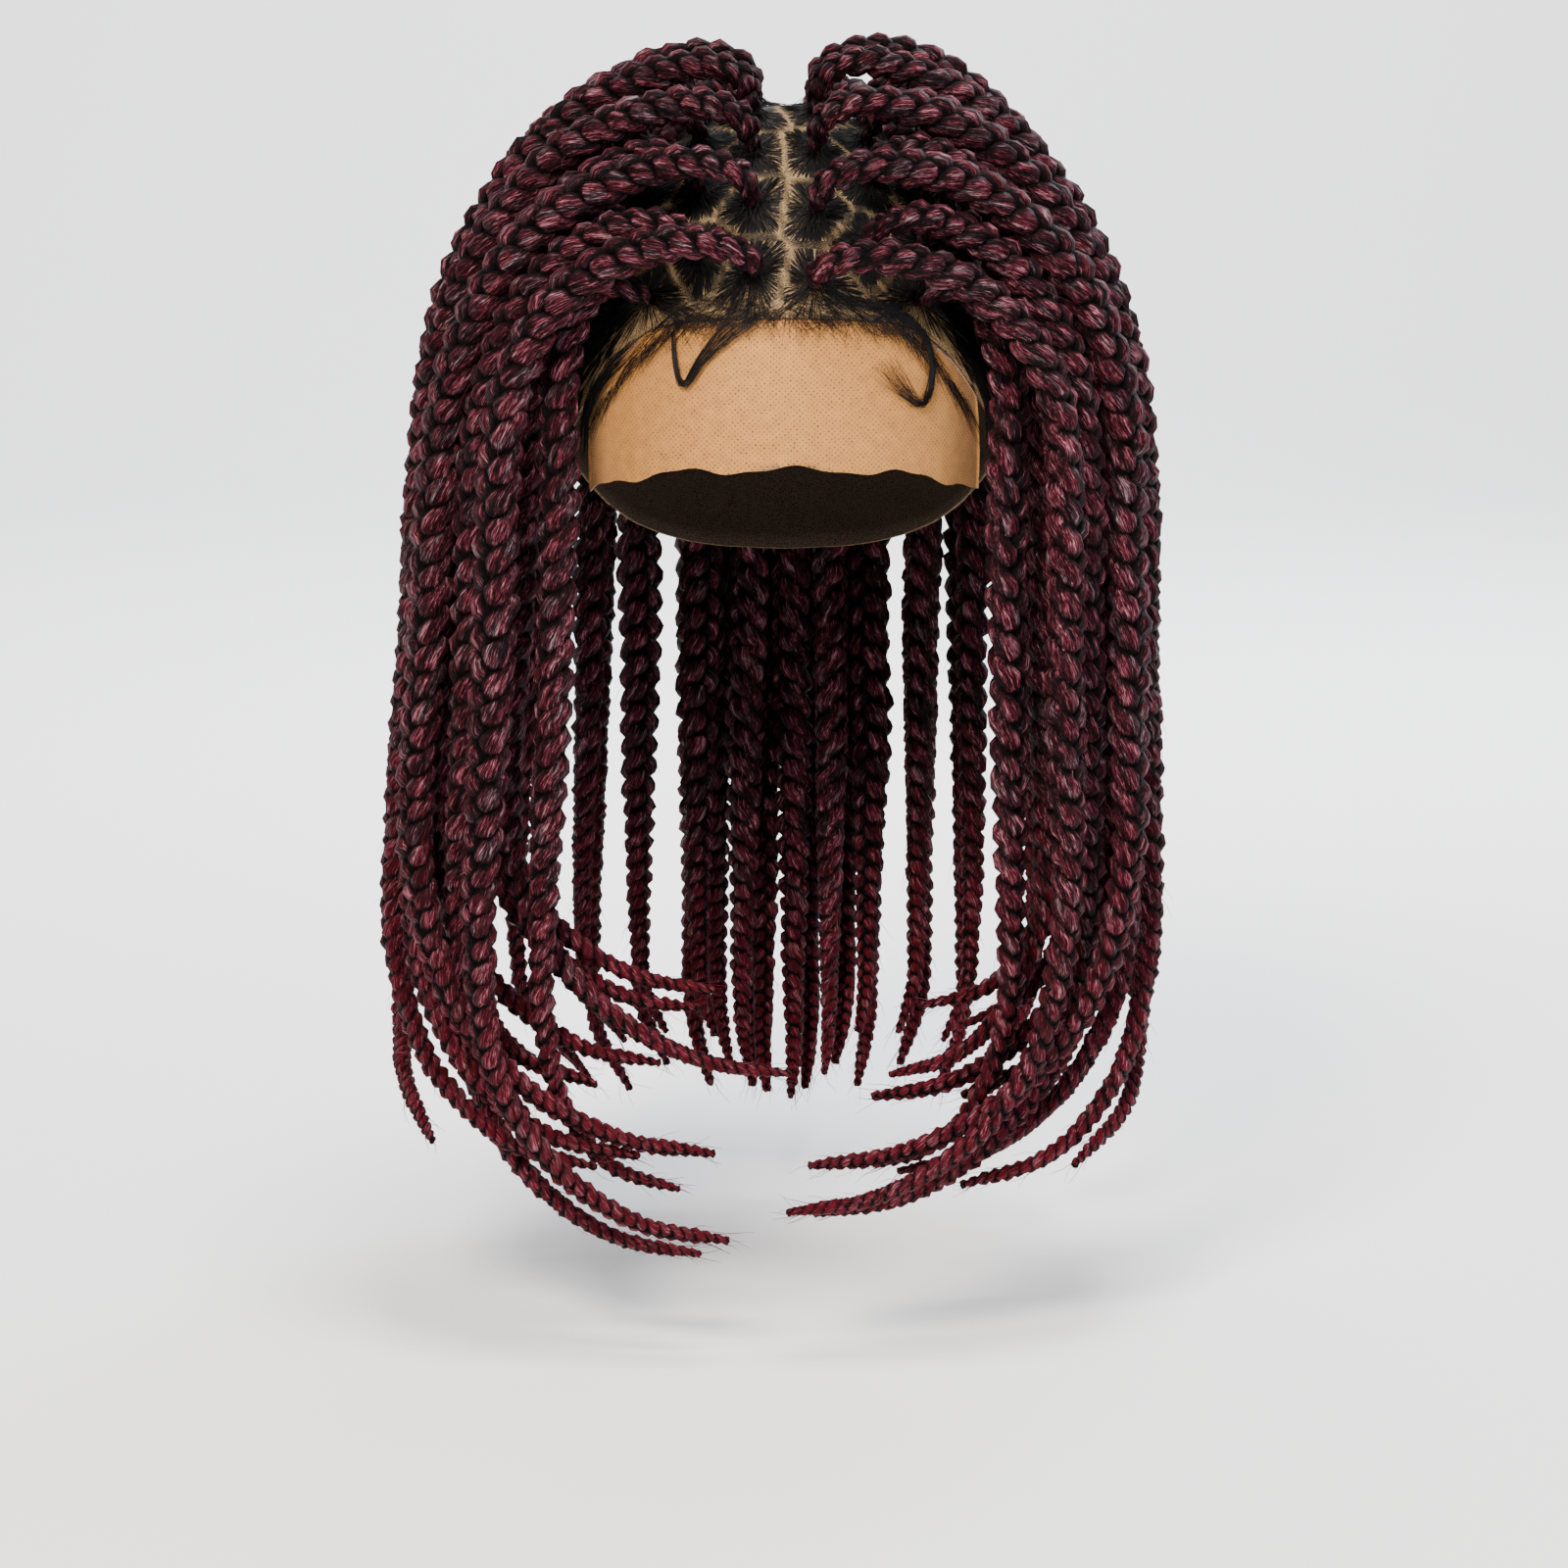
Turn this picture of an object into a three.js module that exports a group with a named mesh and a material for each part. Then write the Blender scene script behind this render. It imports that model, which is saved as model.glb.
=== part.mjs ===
// Lace-front box-braid wig: a fitted lace cap, a bare lace apron below its hairline, nine rows of three
// plaited braids on each side of a centre parting, and four gelled locks along the hairline.
// Millimetres, +Z up, the face opening towards -Y. The origin is the inside of the cap at the crown.

import * as THREE from "three";

// Head opening of the cap
const headWidth = 150;
const headLength = 190;
const crownHeight = 105; // crown above the widest level of the head
const capWall = 1.2;
const laceWall = 1;
const seatGap = 0.3; // between pieces that touch

// Drops below the crown
const hairlineDrop = crownHeight * 0.57;
const napeDrop = crownHeight * 1.45;
const apronDrop = crownHeight; // free edge of the lace, at the middle

// Braids
const braidWidth = 13.5;
const braidThickness = 10.5;
const braidGap = 0.8; // kept between neighbouring braids
const longestDrop = 354; // lowest tip below the crown
const curlLength = 95; // height of the stretch in which a tip that reaches far turns inwards
const farReach = headWidth * 0.63; // how far inwards such a tip reaches
const chestDepth = headLength * 0.54; // how far in front of the crown the front tips lie
const frontRows = 4; // rows that hang in front, the rest behind

// Shares of a braid's width
const layerStep = braidWidth * 0.85; // from one layer of braids to the next
const rootRise = braidWidth * 0.74; // a braid's height above the cap where it turns over
const tipStagger = braidWidth * 0.45; // from one layer of tips to the one behind it
const rootShare = 0.8;
const tipShare = 0.34;

// Shares of a braid's length
const fullFrom = 0.1; // from here to where the taper starts it has its full width
const taperFrom = 0.45;

// Edge locks
const lockWidth = 4;
const lockThickness = 1.2;
const lockSteps = 4; // rings from one of a lock's points to the next
const lockSides = 4;
const lockRoot = 0.2; // a lock's width follows an arch, of which these are its root and its tip
const lockTip = 0.94;

const colours = { braid: 0x4a1a28, cap: 0x2a211c, lace: 0xb58e67, lock: 0x14100f };

// Lower edge of the cap, by azimuth from the face: 0 is the hairline and 1 the nape.
const capEdge = [
  { azimuth: 0, share: 0 },
  { azimuth: 20, share: 0.01 },
  { azimuth: 36, share: 0.05 },
  { azimuth: 48, share: 0.18 },
  { azimuth: 62, share: 0.42 },
  { azimuth: 78, share: 0.5 },
  { azimuth: 95, share: 0.48 },
  { azimuth: 112, share: 0.62 },
  { azimuth: 132, share: 0.85 },
  { azimuth: 155, share: 0.97 },
  { azimuth: 180, share: 1 },
];

// Free edge of the lace apron, by azimuth: shares of its drop.
const apronEdge = [
  { azimuth: 0, share: 1 },
  { azimuth: 20, share: 1.01 },
  { azimuth: 40, share: 1.05 },
  { azimuth: 50, share: 1.09 },
  { azimuth: 60, share: 1.14 },
];
const apronReach = 54; // degrees of azimuth to each side

// Layers of a row: degrees from the parting to a braid's root, degrees by which it is rooted behind its row,
// and its level over the cap.
const layers = [
  { name: "over", tilt: 7, behind: 0, level: 2 },
  { name: "middle", tilt: 19, behind: 8, level: 1.6 },
  { name: "under", tilt: 33, behind: 0, level: 0.8 },
];

// Rows from the hairline to the nape, in degrees: front is where the row is rooted, over and tilt where it
// crosses the side of the head, tilt from the parting's plane, and lanes the azimuths at which its three
// layers hang. spread narrows the row's roots and lift lowers its layers, as shares. sway is the way forward
// that it hangs, as a share of the head's length.
const rows = [
  { front: 57, over: 46, tilt: 45, lanes: [50, 58, 46], spread: 1, lift: 1, sway: 0.06 },
  { front: 42, over: 34, tilt: 45, lanes: [64, 72, 61], spread: 1, lift: 1, sway: 0.13 },
  { front: 27, over: 22, tilt: 45, lanes: [79, 87, 76], spread: 1, lift: 1, sway: 0.18 },
  { front: 11, over: 8, tilt: 45, lanes: [94, 101, 91], spread: 1, lift: 1, sway: 0.2 },
  { front: -6, over: -11, tilt: 45, lanes: [121, 114, 104], spread: 1, lift: 1, sway: 0 },
  { front: -25, over: -34, tilt: 32, lanes: [147, 136, 120], spread: 1, lift: 1, sway: 0 },
  { front: -47, over: -58, tilt: 14, lanes: [166, 155, 139], spread: 0.95, lift: 1, sway: 0 },
  { front: -70, over: -80, tilt: 8, lanes: [175, 169, 154], spread: 0.82, lift: 0.7, sway: 0 },
  { front: -101, over: -104, tilt: 12, lanes: [175, 173, 165], spread: 0.66, lift: 0.35, sway: 0 },
];
const laneBelow = 6; // degrees by which a nape row's lane starts below its roots

// Tips of the rows that hang in front, row by row and layer by layer. Across is a share of half the head's
// width, outwards from the middle, and drop one of the longest drop.
const frontTips = {
  left: [
    { across: 0.21, drop: 0.97 },
    { across: 0.31, drop: 1 },
    { across: 0.46, drop: 0.94 },
    { across: 0.21, drop: 0.92 },
    { across: 0.48, drop: 0.9 },
    { across: 0.04, drop: 0.84 },
    { across: 0.67, drop: 0.9 },
    { across: 0.52, drop: 0.82 },
    { across: 0.36, drop: 0.77 },
    { across: 1.4, drop: 0.9 },
    { across: 0.8, drop: 0.85 },
    { across: 0.4, drop: 0.78 },
  ],
  right: [
    { across: 0.02, drop: 0.95 },
    { across: 0.12, drop: 0.97 },
    { across: 0.4, drop: 0.92 },
    { across: 0.02, drop: 0.92 },
    { across: 0.38, drop: 0.91 },
    { across: 0.5, drop: 0.84 },
    { across: 0.65, drop: 0.93 },
    { across: 0.37, drop: 0.86 },
    { across: 0.61, drop: 0.78 },
    { across: 1.16, drop: 0.92 },
    { across: 0.75, drop: 0.85 },
    { across: 0.8, drop: 0.8 },
  ],
};

// Tips of the rows behind: how far they turn in, as a share of where they hang, and their drop by layer.
const backTurn = 0.14;
const backDrops = [0.98, 0.95, 0.91];

// The two sides of the wig. flare is how far the braids swing out as they hang.
const sides = [
  { name: "left", sign: -1, flare: 9 },
  { name: "right", sign: 1, flare: 2 },
];

// A braid's way over the head: shares of the way from root to lane, and of the rise to its full height.
const sweep = [
  { way: 0.1, rise: 0.25 },
  { way: 0.28, rise: 0.4 },
  { way: 0.52, rise: 0.62 },
  { way: 0.78, rise: 0.88 },
  { way: 1, rise: 1 },
];
const stray = 4; // degrees by which braids stray from their row there
const rootStray = 1.5;
const strayTurn = 2.4; // radians from one braid's straying to the next one's

// How far round, in degrees, a tip has turned inwards at each of its points. A tip with a short reach keeps
// the least share of the curl's length.
const curlTurns = [25, 50, 72, 90];
const leastCurl = 0.35;

// Rings along a braid, as shares of its length: close where it turns over at the root.
const ringShares = [0, 0.02, 0.045, 0.075, 0.115, 0.17, 0.24, 0.32, 0.42, 0.54, 0.66, 0.77, 0.86, 0.93, 1];
const ringSides = 6;
const footRadius = (braidWidth / 2) * rootShare;

// Edge locks, by points on the forehead: across is a share of half the head's width, and down one of the
// crown's height.
const locks = [
  {
    name: "forehead_curl_left",
    points: [
      { across: -0.08, down: 0.53 },
      { across: -0.2, down: 0.6 },
      { across: -0.32, down: 0.69 },
      { across: -0.4, down: 0.77 },
      { across: -0.43, down: 0.71 },
      { across: -0.44, down: 0.62 },
    ],
  },
  {
    name: "forehead_curl_right",
    points: [
      { across: 0.26, down: 0.545 },
      { across: 0.43, down: 0.56 },
      { across: 0.56, down: 0.64 },
      { across: 0.59, down: 0.74 },
      { across: 0.55, down: 0.83 },
      { across: 0.47, down: 0.78 },
      { across: 0.38, down: 0.7 },
    ],
  },
  {
    name: "temple_lock_left",
    points: [
      { across: -0.58, down: 0.65 },
      { across: -0.7, down: 0.74 },
      { across: -0.79, down: 0.86 },
      { across: -0.82, down: 1 },
    ],
  },
  {
    name: "temple_lock_right",
    points: [
      { across: 0.7, down: 0.68 },
      { across: 0.78, down: 0.76 },
      { across: 0.83, down: 0.87 },
      { across: 0.84, down: 0.98 },
    ],
  },
];

// Cap grid
const azimuthStep = 9;
const capRings = 8;
const apronRings = 4;

const up = new THREE.Vector3(0, 0, 1);
const capCentre = new THREE.Vector3(0, 0, -crownHeight);
const headRadii = new THREE.Vector3(headWidth / 2, headLength / 2, crownHeight);
const capRadii = headRadii.clone().addScalar(capWall);
const radians = THREE.MathUtils.degToRad;

// Value of a table's share column at an azimuth, by a smooth curve through its rows.
function shareAt(table, azimuth) {
  const curve = new THREE.SplineCurve(table.map((row) => new THREE.Vector2(row.azimuth, row.share)));
  let low = 0;
  let high = 1;
  for (let halving = 0; halving < 30; halving++) {
    const middle = (low + high) / 2;
    if (curve.getPoint(middle).x < azimuth) low = middle;
    else high = middle;
  }
  return curve.getPoint(low).y;
}

function capDrop(azimuth) {
  return hairlineDrop + (napeDrop - hairlineDrop) * shareAt(capEdge, Math.abs(azimuth));
}

function apronDropAt(azimuth) {
  return apronDrop * shareAt(apronEdge, Math.abs(azimuth));
}

// Angle from the crown, at the head's centre, of a level that lies so far below the crown.
function angleOfDrop(drop) {
  return Math.acos(1 - drop / crownHeight);
}

function azimuthDirection(azimuth, angle) {
  const flat = Math.sin(angle);
  return new THREE.Vector3(
    flat * Math.sin(radians(azimuth)),
    -flat * Math.cos(radians(azimuth)),
    Math.cos(angle),
  );
}

function scalpDirection(front, tilt, sign) {
  const away = Math.cos(radians(tilt));
  return new THREE.Vector3(
    sign * Math.sin(radians(tilt)),
    -away * Math.sin(radians(front)),
    away * Math.cos(radians(front)),
  );
}

// Point over the cap in a direction from the head's centre, raised along the cap's normal.
function overCap(direction, lift) {
  const normal = direction.clone().divide(capRadii).normalize();
  return direction.clone().multiply(capRadii).add(capCentre).addScaledVector(normal, lift);
}

// Closed shell from a grid of outer and inner points. Rows run from the first edge, or a pole, to the last.
function shell(outer, inner, closedRound, poles) {
  const positions = [];
  const faces = [];
  const columns = outer[0].length;
  const index = (layer, row, column) => (layer * outer.length + row) * columns + (column % columns);
  const quad = (a, b, c, d) => faces.push(a, b, c, a, c, d);
  for (const p of [...outer.flat(), ...inner.flat()]) positions.push(p.x, p.y, p.z);
  const spans = closedRound ? columns : columns - 1;
  for (let row = 0; row + 1 < outer.length; row++) {
    for (let column = 0; column < spans; column++) {
      quad(
        index(0, row, column),
        index(0, row + 1, column),
        index(0, row + 1, column + 1),
        index(0, row, column + 1),
      );
      quad(
        index(1, row, column),
        index(1, row, column + 1),
        index(1, row + 1, column + 1),
        index(1, row + 1, column),
      );
    }
  }
  const last = outer.length - 1;
  for (let column = 0; column < spans; column++) {
    quad(
      index(0, last, column),
      index(1, last, column),
      index(1, last, column + 1),
      index(0, last, column + 1),
    );
  }
  if (poles) {
    const top = positions.length / 3;
    for (const pole of poles) positions.push(pole.x, pole.y, pole.z);
    for (let column = 0; column < spans; column++) {
      faces.push(top, index(0, 0, column), index(0, 0, column + 1));
      faces.push(top + 1, index(1, 0, column + 1), index(1, 0, column));
    }
  } else {
    for (let column = 0; column < spans; column++) {
      quad(
        index(0, 0, column),
        index(0, 0, column + 1),
        index(1, 0, column + 1),
        index(1, 0, column),
      );
    }
    for (let row = 0; row < last; row++) {
      quad(index(0, row, 0), index(1, row, 0), index(1, row + 1, 0), index(0, row + 1, 0));
      quad(
        index(0, row, spans),
        index(0, row + 1, spans),
        index(1, row + 1, spans),
        index(1, row, spans),
      );
    }
  }
  return new THREE.BufferGeometry()
    .setAttribute("position", new THREE.Float32BufferAttribute(positions, 3))
    .setIndex(faces);
}

// Grid of points on the head's shape, grown by a wall, between two angles from the crown at each azimuth.
function headGrid(azimuths, rings, wall, firstAngle, lastAngle) {
  const radii = headRadii.clone().addScalar(wall);
  const grid = [];
  for (let ring = 0; ring < rings; ring++) {
    grid.push(
      azimuths.map((azimuth) => {
        const first = firstAngle(azimuth);
        const last = lastAngle(azimuth);
        const angle = first + ((last - first) * ring) / (rings - 1);
        return azimuthDirection(azimuth, angle).multiply(radii).add(capCentre);
      }),
    );
  }
  return grid;
}

function capGeometry() {
  const azimuths = [];
  for (let azimuth = 0; azimuth < 360; azimuth += azimuthStep) {
    azimuths.push(azimuth > 180 ? azimuth - 360 : azimuth);
  }
  const last = (azimuth) => angleOfDrop(capDrop(azimuth));
  const first = (azimuth) => last(azimuth) / capRings;
  const grid = (wall) => headGrid(azimuths, capRings, wall, first, last);
  return shell(grid(capWall), grid(0), true, [
    new THREE.Vector3(0, 0, capWall),
    new THREE.Vector3(0, 0, 0),
  ]);
}

function apronGeometry() {
  const azimuths = [];
  for (let azimuth = -apronReach; azimuth <= apronReach; azimuth += azimuthStep) azimuths.push(azimuth);
  const gapAngle = seatGap / crownHeight;
  const first = (azimuth) => angleOfDrop(capDrop(azimuth)) + gapAngle;
  const last = (azimuth) => angleOfDrop(apronDropAt(azimuth));
  const grid = (wall) => headGrid(azimuths, apronRings, wall, first, last);
  return shell(grid(laceWall), grid(0), false, null);
}

// Closed tube through rings, each with its centre, its half-axes and their directions. Each end has a pole.
function tube(rings, ringCount) {
  const positions = [];
  const faces = [];
  for (const ring of rings) {
    for (let corner = 0; corner < ringCount; corner++) {
      const angle = (2 * Math.PI * corner) / ringCount;
      const p = ring.centre
        .clone()
        .addScaledVector(ring.across, ring.halfWidth * Math.cos(angle))
        .addScaledVector(ring.out, ring.halfThickness * Math.sin(angle));
      positions.push(p.x, p.y, p.z);
    }
  }
  for (let ring = 0; ring + 1 < rings.length; ring++) {
    for (let corner = 0; corner < ringCount; corner++) {
      const a = ring * ringCount + corner;
      const b = ring * ringCount + ((corner + 1) % ringCount);
      faces.push(a, b, b + ringCount, a, b + ringCount, a + ringCount);
    }
  }
  const root = rings[0].centre;
  const end = rings[rings.length - 1];
  const tip = end.centre.clone().addScaledVector(end.along, end.halfThickness / 2);
  const start = positions.length / 3;
  positions.push(root.x, root.y, root.z, tip.x, tip.y, tip.z);
  const lastRing = (rings.length - 1) * ringCount;
  for (let corner = 0; corner < ringCount; corner++) {
    const next = (corner + 1) % ringCount;
    faces.push(start, next, corner, start + 1, lastRing + corner, lastRing + next);
  }
  return new THREE.BufferGeometry()
    .setAttribute("position", new THREE.Float32BufferAttribute(positions, 3))
    .setIndex(faces);
}

// Rings at a line's points, carried along it without twist from a first across direction. The first ring lies
// flat on what the line starts from.
function ringsAlong(points, firstAlong, firstAcross, sizes) {
  const across = firstAcross.clone();
  return points.map((centre, i) => {
    const next = points[Math.min(i + 1, points.length - 1)];
    const along = i === 0 ? firstAlong : next.clone().sub(points[i - 1]).normalize();
    across.addScaledVector(along, -across.dot(along)).normalize();
    const out = new THREE.Vector3().crossVectors(along, across);
    return { centre, along, across: across.clone(), out, ...sizes[i] };
  });
}

// A braid's half-axes: narrow at the root, full over the head, tapering to the tip.
function braidSize(share) {
  const { clamp, lerp, smoothstep } = THREE.MathUtils;
  const root = lerp(rootShare, 1, smoothstep(share, 0, fullFrom));
  const taper = clamp((share - taperFrom) / (1 - taperFrom), 0, 1);
  const width = root * lerp(1, tipShare, taper ** 1.2);
  return { halfWidth: (braidWidth / 2) * width, halfThickness: (braidThickness / 2) * width };
}

// Seat of a braid's foot on the cap's facets, found by rays from outside: the foot's centre, just clear of
// the highest facet under it, and the cap's normal there.
function seatOn(mesh, direction) {
  const outside = overCap(direction, layerStep);
  const normal = outside.clone().sub(overCap(direction, 0)).normalize();
  const inwards = normal.clone().negate();
  const centre = new THREE.Raycaster(outside, inwards).intersectObject(mesh)[0].point;
  const spoke = new THREE.Vector3().crossVectors(normal, up).normalize();
  let rise = 0;
  for (const radius of [footRadius, footRadius * 0.7, footRadius * 0.4]) {
    for (let ray = 0; ray < 2 * ringSides; ray++) {
      spoke.applyAxisAngle(normal, Math.PI / ringSides);
      const from = outside.clone().addScaledVector(spoke, radius);
      const hits = new THREE.Raycaster(from, inwards).intersectObject(mesh);
      if (hits.length) rise = Math.max(rise, hits[0].point.sub(centre).dot(normal));
    }
  }
  return { point: centre.addScaledVector(normal, rise + seatGap), normal };
}

// A braid's way before it settles: up from its root, over the head to its lane, down, and in at the tip.
function braidRoute(side, rowIndex, layerIndex, cap) {
  const row = rows[rowIndex];
  const layer = layers[layerIndex];
  const strayed = Math.sin(side.sign + strayTurn * (rowIndex * layers.length + layerIndex));
  const front = row.front - layer.behind + strayed * rootStray;
  const root = scalpDirection(front, layer.tilt * row.spread, side.sign);
  const tilt = Math.max(layer.tilt * row.spread, row.tilt);
  const over = scalpDirection(row.over - layer.behind + strayed * stray, tilt, side.sign);
  const laneAngle = radians(Math.max(90, laneBelow - row.front));
  const lane = azimuthDirection(side.sign * row.lanes[layerIndex], laneAngle);
  const seat = seatOn(cap, root);
  const points = [seat.point, overCap(root, rootRise * 0.7)];
  for (const step of sweep) {
    const rest = 1 - step.way;
    const direction = root
      .clone()
      .multiplyScalar(rest * rest)
      .addScaledVector(over, 2 * rest * step.way)
      .addScaledVector(lane, step.way * step.way)
      .normalize();
    points.push(overCap(direction, rootRise + layer.level * row.lift * layerStep * step.rise));
  }
  const level = points[points.length - 1];
  const tip = tipOf(side, rowIndex, layerIndex, level);
  const reach = Math.abs(level.x - tip.x) / farReach;
  const curl = curlLength * THREE.MathUtils.lerp(leastCurl, 1, Math.min(1, reach));
  const hang = new THREE.Vector3(
    level.x + side.sign * side.flare * Math.abs(lane.x),
    level.y - row.sway * headLength,
    tip.z + curl,
  );
  points.push(level.clone().lerp(hang, 0.5), hang);
  for (const turn of curlTurns) {
    const inwards = 1 - Math.cos(radians(turn));
    const down = Math.sin(radians(turn));
    points.push(
      new THREE.Vector3(
        THREE.MathUtils.lerp(hang.x, tip.x, inwards),
        THREE.MathUtils.lerp(hang.y, tip.y, down),
        THREE.MathUtils.lerp(hang.z, tip.z, down),
      ),
    );
  }
  const curve = new THREE.CatmullRomCurve3(points);
  return {
    points: ringShares.map((share) => curve.getPointAt(share)),
    length: curve.getLength(),
    normal: seat.normal,
  };
}

// End of a braid that hangs from a point level with the widest part of the head.
function tipOf(side, rowIndex, layerIndex, level) {
  if (rowIndex < frontRows) {
    const { across, drop } = frontTips[side.name][rowIndex * layers.length + layerIndex];
    const depth = chestDepth - tipStagger * (layerIndex + rowIndex / 2);
    return new THREE.Vector3((side.sign * across * headWidth) / 2, -depth, -drop * longestDrop);
  }
  const drop = backDrops[layerIndex] * longestDrop;
  return new THREE.Vector3(level.x * (1 - backTurn), level.y * (1 - backTurn), -drop);
}

// Braids settle against each other and the cap. Each is followed from ring to ring. Stretches that are too
// close are pushed apart, and the pushes are smoothed along each braid, so that it keeps its own curve.
const settlePasses = 160;
const smoothing = 0.5;
const lastSmoothing = 0.1; // over the last quarter of the passes
const fixedLength = 22; // the stretch at the root that hardly gives way

function settle(braids) {
  for (const braid of braids) {
    const distances = braid.points.map((_, i) => braid.length * ringShares[i]);
    braid.rest = braid.points.map((p) => p.clone());
    braid.distances = distances;
    braid.reach = ringShares.map((share) => braidSize(share).halfWidth + braidGap / 2);
    braid.give = distances.map((distance) => THREE.MathUtils.smoothstep(distance, 0, fixedLength));
  }
  for (let pass = 0; pass < settlePasses; pass++) {
    const boxes = braids.map(({ points }) => new THREE.Box3().setFromPoints(points));
    for (const box of boxes) box.expandByScalar(braidWidth / 2);
    braids.forEach((one, i) => {
      for (let j = i + 1; j < braids.length; j++) {
        if (boxes[i].intersectsBox(boxes[j])) pushApart(one, braids[j]);
      }
    });
    for (const braid of braids) {
      keepOffCap(braid);
      smoothPushes(braid, pass < settlePasses * 0.75 ? smoothing : lastSmoothing);
    }
  }
}

// Pushes two braids apart wherever a stretch of one comes too close to a stretch of the other.
function pushApart(one, other) {
  for (let i = 0; i + 1 < one.points.length; i++) {
    const a = one.points[i];
    const b = one.points[i + 1];
    for (let j = 0; j + 1 < other.points.length; j++) {
      const c = other.points[j];
      const d = other.points[j + 1];
      if (Math.min(a.z, b.z) - braidWidth > Math.max(c.z, d.z)) continue;
      if (Math.min(c.z, d.z) - braidWidth > Math.max(a.z, b.z)) continue;
      if (Math.min(a.x, b.x) - braidWidth > Math.max(c.x, d.x)) continue;
      if (Math.min(c.x, d.x) - braidWidth > Math.max(a.x, b.x)) continue;
      const { s, t, apart } = nearest(a, b, c, d);
      const lerp = THREE.MathUtils.lerp;
      const need = lerp(one.reach[i], one.reach[i + 1], s) + lerp(other.reach[j], other.reach[j + 1], t);
      const distance = apart.length();
      if (distance >= need || distance === 0) continue;
      apart.multiplyScalar((need - distance) / (2 * distance));
      push(one, i, s, apart);
      push(other, j, t, apart.negate());
    }
  }
}

// Moves the stretch after a ring so that its point at a share of the way moves by an offset.
function push(braid, ring, share, offset) {
  const scale = 1 / (share * share + (1 - share) * (1 - share));
  braid.points[ring].addScaledVector(offset, (1 - share) * scale * braid.give[ring]);
  braid.points[ring + 1].addScaledVector(offset, share * scale * braid.give[ring + 1]);
}

// Nearest points of the stretches a to b and c to d, as shares of each, and the way from the second's to the
// first's.
function nearest(a, b, c, d) {
  const ab = b.clone().sub(a);
  const cd = d.clone().sub(c);
  const ca = a.clone().sub(c);
  const lengthOne = ab.dot(ab);
  const lengthOther = cd.dot(cd);
  const both = ab.dot(cd);
  const clamp = (value) => THREE.MathUtils.clamp(value, 0, 1);
  const cross = lengthOne * lengthOther - both * both;
  let s = cross > 1e-9 ? clamp((both * cd.dot(ca) - ab.dot(ca) * lengthOther) / cross) : 0.5;
  const t = clamp((both * s + cd.dot(ca)) / lengthOther);
  s = clamp((both * t - ab.dot(ca)) / lengthOne);
  return { s, t, apart: ca.addScaledVector(ab, s).addScaledVector(cd, -t) };
}

// Moves a braid's stretches that lie too near the cap out along its normal.
function keepOffCap(braid) {
  const spot = new THREE.Vector3();
  for (let i = 0; i + 1 < braid.points.length; i++) {
    for (const share of [0, 0.25, 0.5, 0.75]) {
      spot.lerpVectors(braid.points[i], braid.points[i + 1], share);
      const direction = spot.clone().sub(capCentre).divide(capRadii);
      const grown = direction.length();
      direction.divideScalar(grown);
      const lift = overCap(direction, 0).distanceTo(capCentre) * (grown - 1);
      const short = THREE.MathUtils.lerp(braid.reach[i], braid.reach[i + 1], share) + seatGap - lift;
      if (short > 0) push(braid, i, share, direction.divide(capRadii).setLength(short));
    }
  }
}

function smoothPushes(braid, weight) {
  const { points, rest, distances } = braid;
  const pushes = points.map((p, i) => p.clone().sub(rest[i]));
  const last = points.length - 1;
  for (let i = 1; i <= last; i++) {
    const even = pushes[i - 1].clone();
    if (i < last) {
      even.lerp(pushes[i + 1], (distances[i] - distances[i - 1]) / (distances[i + 1] - distances[i - 1]));
    }
    points[i].copy(rest[i]).add(pushes[i].clone().lerp(even, weight));
  }
}

// A lock lies flat on the cap and the lace, and is widest between its root and its tip.
function lockGeometry(lock) {
  const lift = Math.max(0, laceWall - capWall) + seatGap + lockThickness / 2;
  const points = lock.points.map(({ across, down }) => {
    const level = 1 - down;
    const forward = Math.sqrt(1 - across * across - level * level);
    return overCap(new THREE.Vector3(across, -forward, level), lift);
  });
  const curve = new THREE.CatmullRomCurve3(points);
  const steps = lockSteps * (points.length - 1);
  const spots = curve.getSpacedPoints(steps);
  const sizes = spots.map((_, step) => {
    const fine = Math.sin(Math.PI * THREE.MathUtils.lerp(lockRoot, lockTip, step / steps));
    return { halfWidth: (lockWidth / 2) * fine, halfThickness: (lockThickness / 2) * fine };
  });
  const rings = ringsAlong(spots, curve.getTangentAt(0), up, sizes);
  for (const ring of rings) {
    ring.out = ring.centre.clone().sub(capCentre).divide(capRadii).divide(capRadii).normalize();
    ring.across = new THREE.Vector3().crossVectors(ring.out, ring.along).normalize();
  }
  return tube(rings, lockSides);
}

function piece(name, geometry, colour, roughness) {
  geometry.computeVertexNormals();
  const material = new THREE.MeshStandardMaterial({ color: colour, roughness, metalness: 0 });
  const mesh = new THREE.Mesh(geometry, material);
  mesh.name = name;
  return mesh;
}

const wig = new THREE.Group();
const cap = piece("lace_cap", capGeometry(), colours.cap, 0.8);
wig.add(cap);
wig.add(piece("lace_apron", apronGeometry(), colours.lace, 0.7));

const braids = [];
for (const side of sides) {
  rows.forEach((_, rowIndex) =>
    layers.forEach((layer, layerIndex) => {
      const name = `braid_${side.name}_${rowIndex + 1}_${layer.name}`;
      braids.push({ name, ...braidRoute(side, rowIndex, layerIndex, cap) });
    }),
  );
}
settle(braids);
const braidSizes = ringShares.map(braidSize);
for (const { name, points, normal } of braids) {
  const hanging = points[Math.round(points.length / 2)];
  const across = new THREE.Vector3().crossVectors(hanging, up);
  const rings = ringsAlong(points, normal, across, braidSizes);
  wig.add(piece(name, tube(rings, ringSides), colours.braid, 0.55));
}

for (const lock of locks) wig.add(piece(lock.name, lockGeometry(lock), colours.lock, 0.4));

export default wig;
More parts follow.
